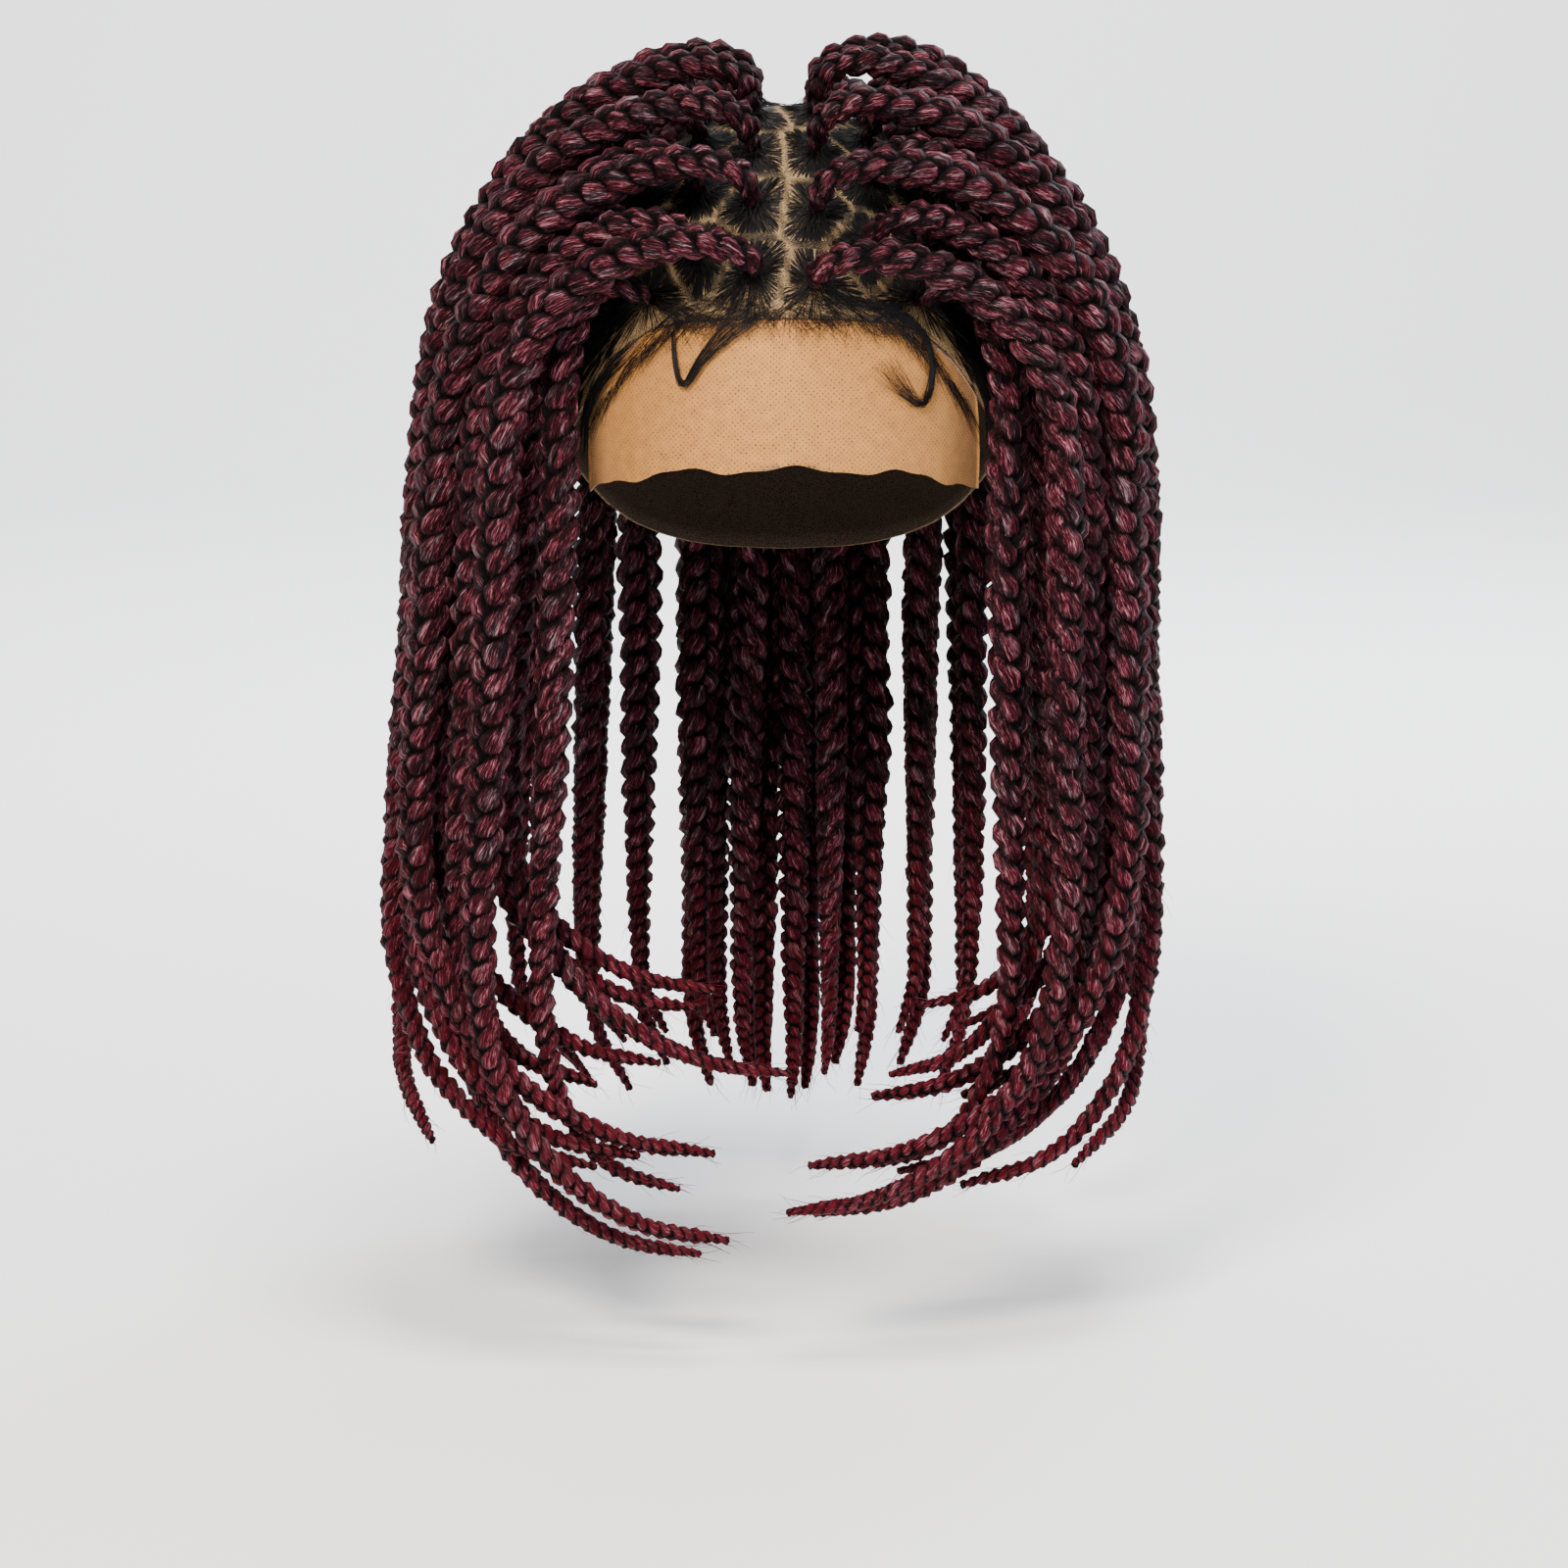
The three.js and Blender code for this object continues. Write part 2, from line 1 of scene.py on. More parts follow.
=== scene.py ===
import math
import bmesh
import bpy
import numpy as np
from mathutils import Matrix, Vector


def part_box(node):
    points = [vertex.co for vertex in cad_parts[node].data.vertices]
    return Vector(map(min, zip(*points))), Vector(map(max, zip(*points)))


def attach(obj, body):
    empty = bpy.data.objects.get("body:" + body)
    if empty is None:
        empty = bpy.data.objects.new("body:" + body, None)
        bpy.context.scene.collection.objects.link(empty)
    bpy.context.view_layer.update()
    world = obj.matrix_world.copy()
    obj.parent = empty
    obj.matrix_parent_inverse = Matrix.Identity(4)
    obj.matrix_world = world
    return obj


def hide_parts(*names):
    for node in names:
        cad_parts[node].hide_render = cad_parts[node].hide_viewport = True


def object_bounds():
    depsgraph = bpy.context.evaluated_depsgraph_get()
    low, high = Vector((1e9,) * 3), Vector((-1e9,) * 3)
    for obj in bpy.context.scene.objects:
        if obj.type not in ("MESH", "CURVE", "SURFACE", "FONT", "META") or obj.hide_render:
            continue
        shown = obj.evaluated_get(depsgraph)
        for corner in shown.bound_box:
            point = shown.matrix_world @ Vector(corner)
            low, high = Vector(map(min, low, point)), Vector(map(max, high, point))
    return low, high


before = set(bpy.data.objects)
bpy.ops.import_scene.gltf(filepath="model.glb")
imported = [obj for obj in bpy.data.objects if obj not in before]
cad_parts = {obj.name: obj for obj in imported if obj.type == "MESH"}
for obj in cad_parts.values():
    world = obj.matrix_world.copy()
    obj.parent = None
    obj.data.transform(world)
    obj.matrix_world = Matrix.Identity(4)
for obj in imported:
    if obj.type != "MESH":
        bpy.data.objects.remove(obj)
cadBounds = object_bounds()
mm = 0.001
weld = 0.01 * mm  # vertices of a CAD node closer than this are one
anyPhase = (0, 6.3)  # radians, where a wave may start

# What the pieces sit on: the egg-shaped form under the cap, from the cap's own box

_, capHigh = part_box("lace_cap")
crownHeight = 105 * mm  # from the form's widest level to its top
capWall = capHigh.z  # the cap's inside is at the origin, so its top gives its wall
formRadii = np.array([capHigh.x - capWall, capHigh.y - capWall, crownHeight])
formCentre = np.array([0, 0, -crownHeight])


def lengthOf(vectors):
    return np.linalg.norm(vectors, axis=-1, keepdims=True)


# Vectors one unit long
def unit(vectors):
    return vectors / np.maximum(lengthOf(vectors), 1e-9)


# A smooth step from 0 to 1 as the values go from low to high
def ease(values, low, high):
    share = np.clip((values - low) / (high - low), 0, 1)
    return share * share * (3 - 2 * share)


# Points over the form in directions from its centre, raised along its own normals
def overForm(directions, lift):
    directions = unit(directions)
    normals = unit(directions / formRadii)
    return formCentre + directions * formRadii + normals * np.asarray(lift)[..., None]


def formNormals(points):
    return unit((points - formCentre) / formRadii ** 2)


# Camera, light and ground

view = {
    "target": (0, -80 * mm, -205 * mm),
    "distance": 1.6,
    "elevation": 10,  # degrees
    "focalLength": 118,  # millimetres
    "sensor": 36,
    "farthest": 50,  # metres
}

studio = {
    "wall": (3.2, 2.6),  # half width and height of the backdrop, metres
    "floorBelow": 30 * mm,  # floor under the lowest tip
    "bend": 1.1,  # the paper's bend from floor to wall, metres
    "bendSteps": 16,
    "paper": "#ffffff",
    "paperGrain": 900,  # specks a metre
    "paperRelief": 0.2 * mm,
    "air": "#e6ebf2",
    "airStrength": 0.34,
    "lamps": {  # place and aim, width in metres, power in watts, colour
        "key": ((-0.6, -1.8, 1.3), (0, 0, -0.2), 0.7, 92, "#fff4e8"),
        "fill": ((1.5, -1.6, 0.4), (0, 0, -0.2), 1.2, 24, "#eef3ff"),
        "top": ((0.2, -0.4, 1.6), (0, 0, -0.2), 0.7, 36, "#ffffff"),
        "rim": ((0.9, 1.4, 0.8), (0, 0, -0.2), 1.0, 22, "#f3f6ff"),
        "backdrop": ((0, 1, 1.5), (0, 3.2, -0.2), 1.6, 90, "#f6f8ff"),
    },
}


# An sRGB hex colour as the linear one that a shader takes
def linear(code):
    shares = [int(code[i:i + 2], 16) / 255 for i in (1, 3, 5)]
    bright = [s / 12.92 if s <= 0.04045 else ((s + 0.055) / 1.055) ** 2.4 for s in shares]
    return (*bright, 1)


# Adds a node. Inputs by name or number take a value or another node's output, and stops fill a colour ramp
def addNode(tree, kind, inputs=None, stops=None, **settings):
    made = tree.nodes.new(kind)
    for name, value in settings.items():
        setattr(made, name, value)
    for name, value in (inputs or {}).items():
        if isinstance(value, bpy.types.NodeSocket):
            tree.links.new(value, made.inputs[name])
        else:
            made.inputs[name].default_value = value
    if stops:
        elements = made.color_ramp.elements
        while len(elements) < len(stops):
            elements.new(1)
        for element, (place, code) in zip(elements, stops):
            element.position = place
            element.color = linear(code)
    return made


def newMaterial(name):
    material = bpy.data.materials.new(name)
    material.use_nodes = True
    material.node_tree.nodes.clear()
    return material, material.node_tree


def makeCamera():
    data = bpy.data.cameras.new("camera")
    data.lens = view["focalLength"]
    data.sensor_width = view["sensor"]
    data.clip_end = view["farthest"]
    camera = bpy.data.objects.new("camera", data)
    bpy.context.scene.collection.objects.link(camera)
    rise = math.radians(view["elevation"])
    away = Vector((0, -math.cos(rise), math.sin(rise)))
    camera.location = Vector(view["target"]) + away * view["distance"]
    camera.rotation_euler = away.to_track_quat("Z", "Y").to_euler()
    bpy.context.scene.camera = camera


def makeStudio():
    for name, (place, aimedAt, width, power, tint) in studio["lamps"].items():
        data = bpy.data.lights.new(name, "AREA")
        data.shape = "DISK"
        data.size = width
        data.energy = power
        data.color = linear(tint)[:3]
        light = bpy.data.objects.new(name, data)
        light.location = place
        aim = Vector(place) - Vector(aimedAt)
        light.rotation_euler = aim.to_track_quat("Z", "Y").to_euler()
        bpy.context.scene.collection.objects.link(light)
    world = bpy.data.worlds.new("air")
    world.use_nodes = True
    world.node_tree.nodes.clear()
    air = addNode(world.node_tree, "ShaderNodeBackground", {
        "Color": linear(studio["air"]), "Strength": studio["airStrength"]})
    addNode(world.node_tree, "ShaderNodeOutputWorld", {"Surface": air.outputs[0]})
    bpy.context.scene.world = world

    # Paper roll: a floor that bends up into a wall behind
    halfWidth, height = studio["wall"]
    floorLevel = cadBounds[0][2] - studio["floorBelow"]
    bm = bmesh.new()
    bmesh.ops.create_grid(bm, x_segments=1, y_segments=1, size=halfWidth)
    bmesh.ops.translate(bm, vec=(0, 0, floorLevel), verts=bm.verts)
    back = [e for e in bm.edges if all(v.co.y > 0 for v in e.verts)]
    raised = bmesh.ops.extrude_edge_only(bm, edges=back)["geom"]
    wallTop = [g for g in raised if isinstance(g, bmesh.types.BMVert)]
    bmesh.ops.translate(bm, vec=(0, 0, height), verts=wallTop)
    fold = [e for e in bm.edges if len(e.link_faces) == 2]
    bmesh.ops.bevel(bm, geom=fold, offset=studio["bend"], segments=studio["bendSteps"], profile=0.5,
                    affect="EDGES", material=-1)
    mesh = bpy.data.meshes.new("paper_roll")
    bm.to_mesh(mesh)
    bm.free()
    for face in mesh.polygons:
        face.use_smooth = True
    material, tree = newMaterial("matt_background_paper")
    grain = addNode(tree, "ShaderNodeTexNoise", {"Scale": studio["paperGrain"]})
    bump = addNode(tree, "ShaderNodeBump", {
        "Strength": 0.05, "Distance": studio["paperRelief"], "Height": grain.outputs[0]})
    paper = addNode(tree, "ShaderNodeBsdfPrincipled", {
        "Base Color": linear(studio["paper"]), "Roughness": 0.9, "Normal": bump.outputs[0]})
    addNode(tree, "ShaderNodeOutputMaterial", {"Surface": paper.outputs[0]})
    mesh.materials.append(material)
    roll = bpy.data.objects.new("paper_roll", mesh)
    bpy.context.scene.collection.objects.link(roll)


makeCamera()
makeStudio()
print("camera and studio stand")

# Threads: every strand and hair is a thin closed tube, drawn along its own path


# A straight closed tube with a point at each end, of radius 1, with its rings 1 apart
def tubeMesh(sides, spans):
    bm = bmesh.new()
    ring = bmesh.ops.create_circle(bm, segments=sides, radius=1)["verts"]
    first = edges = list(bm.edges)
    for _ in range(spans):
        made = bmesh.ops.extrude_edge_only(bm, edges=edges)["geom"]
        ring = [g for g in made if isinstance(g, bmesh.types.BMVert)]
        bmesh.ops.translate(bm, vec=(0, 0, 1), verts=ring)
        edges = [g for g in made if isinstance(g, bmesh.types.BMEdge) and all(v in ring for v in g.verts)]
    for end in (first, edges):
        cover = bmesh.ops.contextual_create(bm, geom=end)["faces"]
        bmesh.ops.poke(bm, faces=cover)
    bmesh.ops.recalc_face_normals(bm, faces=bm.faces)
    mesh = bpy.data.meshes.new("tube")
    bm.to_mesh(mesh)
    bm.free()
    return mesh


# Several copies of a mesh in one, in order
def copiesOf(mesh, count):
    holder = bpy.data.objects.new("holder", mesh)
    bpy.context.scene.collection.objects.link(holder)
    row = holder.modifiers.new("copies", "ARRAY")
    row.use_relative_offset = False
    row.count = count
    made = bpy.data.meshes.new_from_object(holder.evaluated_get(bpy.context.evaluated_depsgraph_get()))
    bpy.data.objects.remove(holder)
    return made


# One smooth mesh from several
def joined(meshes):
    bm = bmesh.new()
    for mesh in meshes:
        bm.from_mesh(mesh)
    made = bpy.data.meshes.new("joined")
    bm.to_mesh(made)
    bm.free()
    for face in made.polygons:
        face.use_smooth = True
    return made


# The thread that a set of tubes is made of: where each of its vertices lies round it and along it
class Thread:
    def __init__(self, sides, spans):
        self.mesh = tubeMesh(sides, spans)
        self.spans = spans
        spots = np.empty(len(self.mesh.vertices) * 3)
        self.mesh.vertices.foreach_get("co", spots)
        self.acrossShare, self.outShare, height = spots.reshape(-1, 3).T
        self.ring = np.rint(height).astype(int)

    # Vertices of the tubes along paths, one path a copy, with their half widths and half thicknesses at each
    # ring, and the direction that their broad side faces
    def along(self, paths, halfWidths, halfThicknesses, facing):
        ways = unit(np.gradient(paths, axis=1))
        across = unit(np.cross(facing, ways))
        out = np.cross(ways, across)
        wide = (across * halfWidths[..., None])[:, self.ring] * self.acrossShare[:, None]
        thick = (out * halfThicknesses[..., None])[:, self.ring] * self.outShare[:, None]
        return paths[:, self.ring] + wide + thick


# A finished piece on the wig's one body
def newPiece(name, mesh, material, replacing=()):
    piece = bpy.data.objects.new(name, mesh)
    mesh.name = name
    mesh.materials.clear()
    mesh.materials.append(material)
    bpy.context.scene.collection.objects.link(piece)
    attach(piece, "root")
    if replacing:
        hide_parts(*replacing)
    return piece


def setVertices(mesh, spots):
    mesh.vertices.foreach_set("co", spots.reshape(-1))
    mesh.update()


def setAttribute(mesh, name, vectors):
    attribute = mesh.attributes.new(name, "FLOAT_VECTOR", "POINT")
    attribute.data.foreach_set("vector", np.ascontiguousarray(vectors, dtype=float).reshape(-1))


# Materials

# Braiding hair: modacrylic fibre, crimped and dipped, burgundy mixed with black. Satin, with broken streaks
# of painted highlight along the fibres, and painted shade, near black, in the creases of a plait
braidingHair = {
    "black": "#020001",
    "deep": "#110205",
    "body": "#2d050d",
    "light": "#5c2531",
    # painted highlight: the palest fibres stand for glints of light along them
    "paintedGlint": "#9a6f77",
    "places": (0.38, 0.44, 0.5, 0.57, 0.68),  # where those five stand in the noise, mostly near a half
    "smoky": ("#000000", "#060405", "#151012", "#3a3034", "#83757a"),  # the five where black hair is mixed in, the palest a painted highlight on it
    "smokyWidth": 3.2,  # mm, patches of that black hair
    "smokyLength": 9,
    "smokyEdge": (0.48, 0.62),  # where a patch begins and is full, in its own noise
    "smokyMost": 0.8,
    "tip": "#5c0a19",
    "tipFrom": 0.6,  # share of a plait's length from which it reddens towards the tip
    "tipMost": 0.55,
    "root": "#050203",
    "rootTo": 0.035,  # share of a plait's length that darkens towards the root
    "rootMost": 0.85,
    "creaseShade": ("#000000", "#1c1215", "#ffffff"),  # painted shade: what the colour is multiplied by, from a crease outwards
    "creaseShadePlaces": (0, 0.34, 0.85),
    "ragged": 0.55,  # how much the fibres break up the edge of the painted crease shade
    "fibreWidth": 0.28,  # mm, as fine as the render can show; a real fibre is 0.08
    "fibreLength": 1.9,
    "lockWidth": 1.5,  # mm, streaks of darker hair in a strand
    "lockLength": 7,
    "lockShare": 0.4,  # how much these streaks weigh beside the fibres
    "crimp": 0.9,  # how far a fibre bends aside, mm
    "crimpLength": 2.6,
    "relief": 1.1,  # mm
    "roughness": 0.55,
    "specular": 0.06,
    "sheen": 0.03,
    "sheenRoughness": 0.5,
    "sheenTint": "#c77f8f",
}

# Gelled hair: black, combed flat with gel and set, so it shines more than the plaits
gelledHair = {
    "shades": ("#050404", "#171213"),
    "places": (0.35, 0.7),  # where the two stand in the noise
    "streakWidth": 3,  # mm
    "streakLength": 12,
    "apart": 300,  # mm, how unlike two hairs' streaks may be
    "roughness": 0.42,
    "specular": 0.2,
}

# Scalp lace: fine net in a skin tone, with the hair knotted in singly, so it is specked with dark knots
scalpLace = {
    "thread": "#917753",
    "shadow": "#5a4932",
    "inside": ("#3a2c21", "#17110c"),  # threads and holes, seen from within; the holes' near black is painted shadow
    "net": (0.05, 0.3),  # where a thread ends and a hole is full, in cells from the thread's middle
    "cell": 0.9,  # mm from thread to thread
    "crooked": 0.9,  # how unevenly its cells are drawn out
    "hair": "#050303",  # rooted hair lying on it
    "hairWidth": 0.28,  # mm
    "hairEdge": (0.54, 0.66),  # where that hair begins and is full, in its noise
    "relief": 0.1,  # mm
    "roughness": 0.8,
    "specular": 0.2,
}

# Front lace: bare tulle in the same tone, sheer, a net of open cells between round threads
frontLace = {
    "thread": "#865417",
    "pale": "#be823a",
    "cell": 1.15,  # mm, coarser than the real net, which is about 0.7, so that it shows
    "bias": 45,  # degrees that the net is turned from level
    "contrast": 0.7,  # how much paler its threads are than what shows between them
    "wear": 0.3,  # patches of paler thread, a mm
    "hole": (0.31, 0.465),  # where a hole begins and is full, in cells from the thread's middle
    "holeCover": 0.25,  # what a full hole still hides
    "crooked": 0.35,  # how unevenly its cells are drawn out
    "relief": 0.3,  # mm
    "roughness": 0.7,
    "sheen": 0.2,
}


# Noise drawn out along the fibres, in streaks of a width and a length in mm
def streaks(tree, fibre, width, length, detail):
    drawn = addNode(tree, "ShaderNodeMapping", {
        "Vector": fibre, "Scale": (1 / length, 1 / width, 1 / width)}).outputs[0]
    return addNode(tree, "ShaderNodeTexNoise", {
        "Vector": drawn, "Scale": 1, "Detail": detail, "Roughness": 0.6}).outputs[0]


def makeBraidingHair():
    hair = braidingHair
    material, tree = newMaterial("modacrylic_braiding_hair")
    fibre = addNode(tree, "ShaderNodeAttribute", attribute_name="fibre").outputs["Vector"]
    look = addNode(tree, "ShaderNodeAttribute", attribute_name="look").outputs["Vector"]
    along, creaseShadeMask, _ = addNode(tree, "ShaderNodeSeparateXYZ", {0: look}).outputs
    bends = addNode(tree, "ShaderNodeTexNoise", {
        "Vector": fibre, "Scale": 1 / hair["crimpLength"], "Detail": 1}).outputs["Color"]
    crimped = addNode(tree, "ShaderNodeVectorMath", {
        0: bends, 1: (hair["crimp"],) * 3, 2: fibre}, operation="MULTIPLY_ADD").outputs[0]
    fine = streaks(tree, crimped, hair["fibreWidth"], hair["fibreLength"], 2)
    broad = streaks(tree, crimped, hair["lockWidth"], hair["lockLength"], 1)
    mixed = addNode(tree, "ShaderNodeMix", {"Factor": hair["lockShare"], "A": fine, "B": broad}).outputs[0]
    wine = [hair[name] for name in ("black", "deep", "body", "light", "paintedGlint")]
    redTones, greyTones = (list(zip(hair["places"], tones)) for tones in (wine, hair["smoky"]))
    red = addNode(tree, "ShaderNodeValToRGB", {"Fac": mixed}, stops=redTones).outputs[0]
    grey = addNode(tree, "ShaderNodeValToRGB", {"Fac": mixed}, stops=greyTones).outputs[0]
    patchFrom, patchTo = hair["smokyEdge"]
    patches = addNode(tree, "ShaderNodeMapRange", {
        "Value": streaks(tree, fibre, hair["smokyWidth"], hair["smokyLength"], 2),
        "From Min": patchFrom, "From Max": patchTo, "To Min": 0, "To Max": hair["smokyMost"]}).outputs[0]
    colour = addNode(tree, "ShaderNodeMix", {
        "Factor": patches, "A": red, "B": grey}, data_type="RGBA").outputs["Result"]
    tipward = addNode(tree, "ShaderNodeMapRange", {
        "Value": along, "From Min": hair["tipFrom"], "From Max": 1,
        "To Min": 0, "To Max": hair["tipMost"]}).outputs[0]
    reddened = addNode(tree, "ShaderNodeMix", {
        "Factor": tipward, "A": colour, "B": linear(hair["tip"])}, data_type="RGBA").outputs["Result"]
    rootward = addNode(tree, "ShaderNodeMapRange", {
        "Value": along, "From Min": 0, "From Max": hair["rootTo"],
        "To Min": hair["rootMost"], "To Max": 0}).outputs[0]
    rooted = addNode(tree, "ShaderNodeMix", {
        "Factor": rootward, "A": reddened, "B": linear(hair["root"])}, data_type="RGBA").outputs["Result"]
    # Painted crease shade: the colour is multiplied down to near black deep in a plait's creases, its edge
    # broken up by the fibres
    edge = addNode(tree, "ShaderNodeMath", {
        0: fine, 1: hair["ragged"], 2: -hair["ragged"] / 2}, operation="MULTIPLY_ADD").outputs[0]
    raggedCreaseShade = addNode(tree, "ShaderNodeMath", {0: creaseShadeMask, 1: edge}, operation="ADD").outputs[0]
    creaseShadeStops = list(zip(hair["creaseShadePlaces"], hair["creaseShade"]))
    creaseShade = addNode(tree, "ShaderNodeValToRGB", {"Fac": raggedCreaseShade}, stops=creaseShadeStops).outputs[0]
    shaded = addNode(tree, "ShaderNodeMix", {
        "Factor": 1, "A": rooted, "B": creaseShade}, data_type="RGBA", blend_type="MULTIPLY").outputs["Result"]
    bump = addNode(tree, "ShaderNodeBump", {
        "Strength": 1, "Distance": hair["relief"] * mm, "Height": mixed}).outputs[0]
    surface = addNode(tree, "ShaderNodeBsdfPrincipled", {
        "Base Color": shaded, "Roughness": hair["roughness"], "Specular IOR Level": hair["specular"],
        "Sheen Weight": hair["sheen"], "Sheen Roughness": hair["sheenRoughness"],
        "Sheen Tint": linear(hair["sheenTint"]), "Normal": bump})
    addNode(tree, "ShaderNodeOutputMaterial", {"Surface": surface.outputs[0]})
    return material


def makeGelledHair():
    hair = gelledHair
    material, tree = newMaterial("gelled_black_hair")
    fibre = addNode(tree, "ShaderNodeAttribute", attribute_name="fibre").outputs["Vector"]
    tone = streaks(tree, fibre, hair["streakWidth"], hair["streakLength"], 2)
    shades = list(zip(hair["places"], hair["shades"]))
    colour = addNode(tree, "ShaderNodeValToRGB", {"Fac": tone}, stops=shades).outputs[0]
    surface = addNode(tree, "ShaderNodeBsdfPrincipled", {
        "Base Color": colour, "Roughness": hair["roughness"], "Specular IOR Level": hair["specular"]})
    addNode(tree, "ShaderNodeOutputMaterial", {"Surface": surface.outputs[0]})
    return material


def makeScalpLace():
    lace = scalpLace
    material, tree = newMaterial("knotted_scalp_lace")
    place = addNode(tree, "ShaderNodeTexCoord").outputs["Object"]
    net = addNode(tree, "ShaderNodeTexVoronoi", {
        "Vector": place, "Scale": 1 / (lace["cell"] * mm), "Randomness": lace["crooked"]},
        feature="DISTANCE_TO_EDGE").outputs["Distance"]
    outer = list(zip(lace["net"], (lace["thread"], lace["shadow"])))
    colour = addNode(tree, "ShaderNodeValToRGB", {"Fac": net}, stops=outer).outputs[0]
    inner = list(zip(lace["net"], lace["inside"]))
    within = addNode(tree, "ShaderNodeValToRGB", {"Fac": net}, stops=inner).outputs[0]
    growth = addNode(tree, "ShaderNodeAttribute", attribute_name="growth").outputs["Vector"]
    combed = addNode(tree, "ShaderNodeTexNoise", {
        "Vector": growth, "Scale": 1 / lace["hairWidth"], "Detail": 2}).outputs[0]
    cover = addNode(tree, "ShaderNodeAttribute", attribute_name="cover").outputs["Fac"]
    thick = addNode(tree, "ShaderNodeMath", {0: combed, 1: cover}, operation="ADD").outputs[0]
    hairFrom, hairTo = lace["hairEdge"]
    covered = addNode(tree, "ShaderNodeMapRange", {
        "Value": thick, "From Min": hairFrom, "From Max": hairTo, "To Min": 0, "To Max": 1}).outputs[0]
    haired = addNode(tree, "ShaderNodeMix", {
        "Factor": covered, "A": colour, "B": linear(lace["hair"])}, data_type="RGBA").outputs["Result"]
    outside = addNode(tree, "ShaderNodeAttribute", attribute_name="raised").outputs["Fac"]
    sided = addNode(tree, "ShaderNodeMix", {
        "Factor": outside, "A": within, "B": haired}, data_type="RGBA").outputs["Result"]
    bump = addNode(tree, "ShaderNodeBump", {
        "Strength": 0.6, "Distance": lace["relief"] * mm, "Height": net}, invert=True).outputs[0]
    surface = addNode(tree, "ShaderNodeBsdfPrincipled", {
        "Base Color": sided, "Roughness": lace["roughness"], "Specular IOR Level": lace["specular"],
        "Normal": bump})
    addNode(tree, "ShaderNodeOutputMaterial", {"Surface": surface.outputs[0]})
    return material


def makeFrontLace():
    lace = frontLace
    material, tree = newMaterial("sheer_tulle_lace")
    weave = addNode(tree, "ShaderNodeAttribute", attribute_name="weave").outputs["Vector"]
    turned = addNode(tree, "ShaderNodeMapping", {
        "Vector": weave, "Rotation": (0, 0, math.radians(lace["bias"])),
        "Scale": (1 / lace["cell"],) * 3}).outputs[0]
    net = addNode(tree, "ShaderNodeTexVoronoi", {
        "Vector": turned, "Scale": 1, "Randomness": lace["crooked"]},
        feature="DISTANCE_TO_EDGE", voronoi_dimensions="2D").outputs["Distance"]
    wear = addNode(tree, "ShaderNodeTexNoise", {
        "Vector": weave, "Scale": lace["wear"], "Detail": 4}).outputs[0]
    weft = addNode(tree, "ShaderNodeMath", {
        0: net, 1: -lace["contrast"], 2: lace["contrast"] / 4}, operation="MULTIPLY_ADD").outputs[0]
    tone = addNode(tree, "ShaderNodeMath", {0: wear, 1: weft}, operation="ADD", use_clamp=True).outputs[0]
    colour = addNode(tree, "ShaderNodeMix", {
        "Factor": tone, "A": linear(lace["thread"]), "B": linear(lace["pale"])},
        data_type="RGBA").outputs["Result"]
    holeFrom, holeTo = lace["hole"]
    cover = addNode(tree, "ShaderNodeMapRange", {
        "Value": net, "From Min": holeFrom, "From Max": holeTo,
        "To Min": 1, "To Max": lace["holeCover"]}).outputs[0]
    bump = addNode(tree, "ShaderNodeBump", {
        "Strength": 0.8, "Distance": lace["relief"] * mm, "Height": net}, invert=True).outputs[0]
    surface = addNode(tree, "ShaderNodeBsdfPrincipled", {
        "Base Color": colour, "Roughness": lace["roughness"], "Sheen Weight": lace["sheen"],
        "Alpha": cover, "Normal": bump})
    addNode(tree, "ShaderNodeOutputMaterial", {"Surface": surface.outputs[0]})
    return material


hairMaterial = makeBraidingHair()
gelMaterial = makeGelledHair()
scalpMaterial = makeScalpLace()
laceMaterial = makeFrontLace()
print("materials are mixed")

# Plaits: three strands each, over and under

plaits = {
    "width": 1.06,  # of the CAD braid's width
    "rootWidth": 0.84,  # the same near its root
    "fullFrom": 0.22,  # share of its length from which it has its full width
    "thickness": 0.79,  # of its own width
    "pitch": 1.95,  # a strand's whole way over and back, in widths
    "pitchRange": (0.95, 1.05),  # how far one plait's pitch strays from that
    "rootPinch": (0.45, 9 * mm),  # how much it is drawn in at its root, and over what length
    "tipPinch": (0.35, 12 * mm),  # the same at its tip
    "strandWidth": 0.27,  # half of it, in widths
    "strandThickness": 0.34,  # half of it, in thicknesses
    "plump": 0.2,  # how much a strand swells where it shows
    "swells": (0.4, 0.6),  # shares of that in its two waves, two and four to a pitch
    "square": 0.03,  # how much longer than a plain wave a strand stays at the edge
    "strands": {"over": (8, 330), "middle": (7, 300), "under": (6, 230)},  # sides and rings, by layer
    "samples": 500,  # points at which a plait's line is measured
    "towardsFront": 0.6,  # how far its broad side turns from the outside of the wig to the front
    "roll": 20,  # degrees that a plait may turn about its own line
    "rollWave": (0.6, 0.4),  # share of it that comes and goes along the plait, and its wavelength in metres
    "rollOver": 60 * mm,  # from the root, over which that turn comes in
    "wander": 0.6 * mm,
    "wanderOver": (10 * mm, 60 * mm),
    "wanderLength": 90 * mm,
    "uneven": 0.11,  # how much a strand's size strays
    "unevenLength": 19 * mm,
    "lumps": 0.06,  # how much each spot of its surface stands in or out, as a share of its half width
    "shadedCreases": (0.68, 1.1),  # how far out the painted crease shade is deepest and gone, in half widths
    "seed": 1000,
    "apart": (400, 40),  # mm along and across, how unlike two strands' streaks may be
}

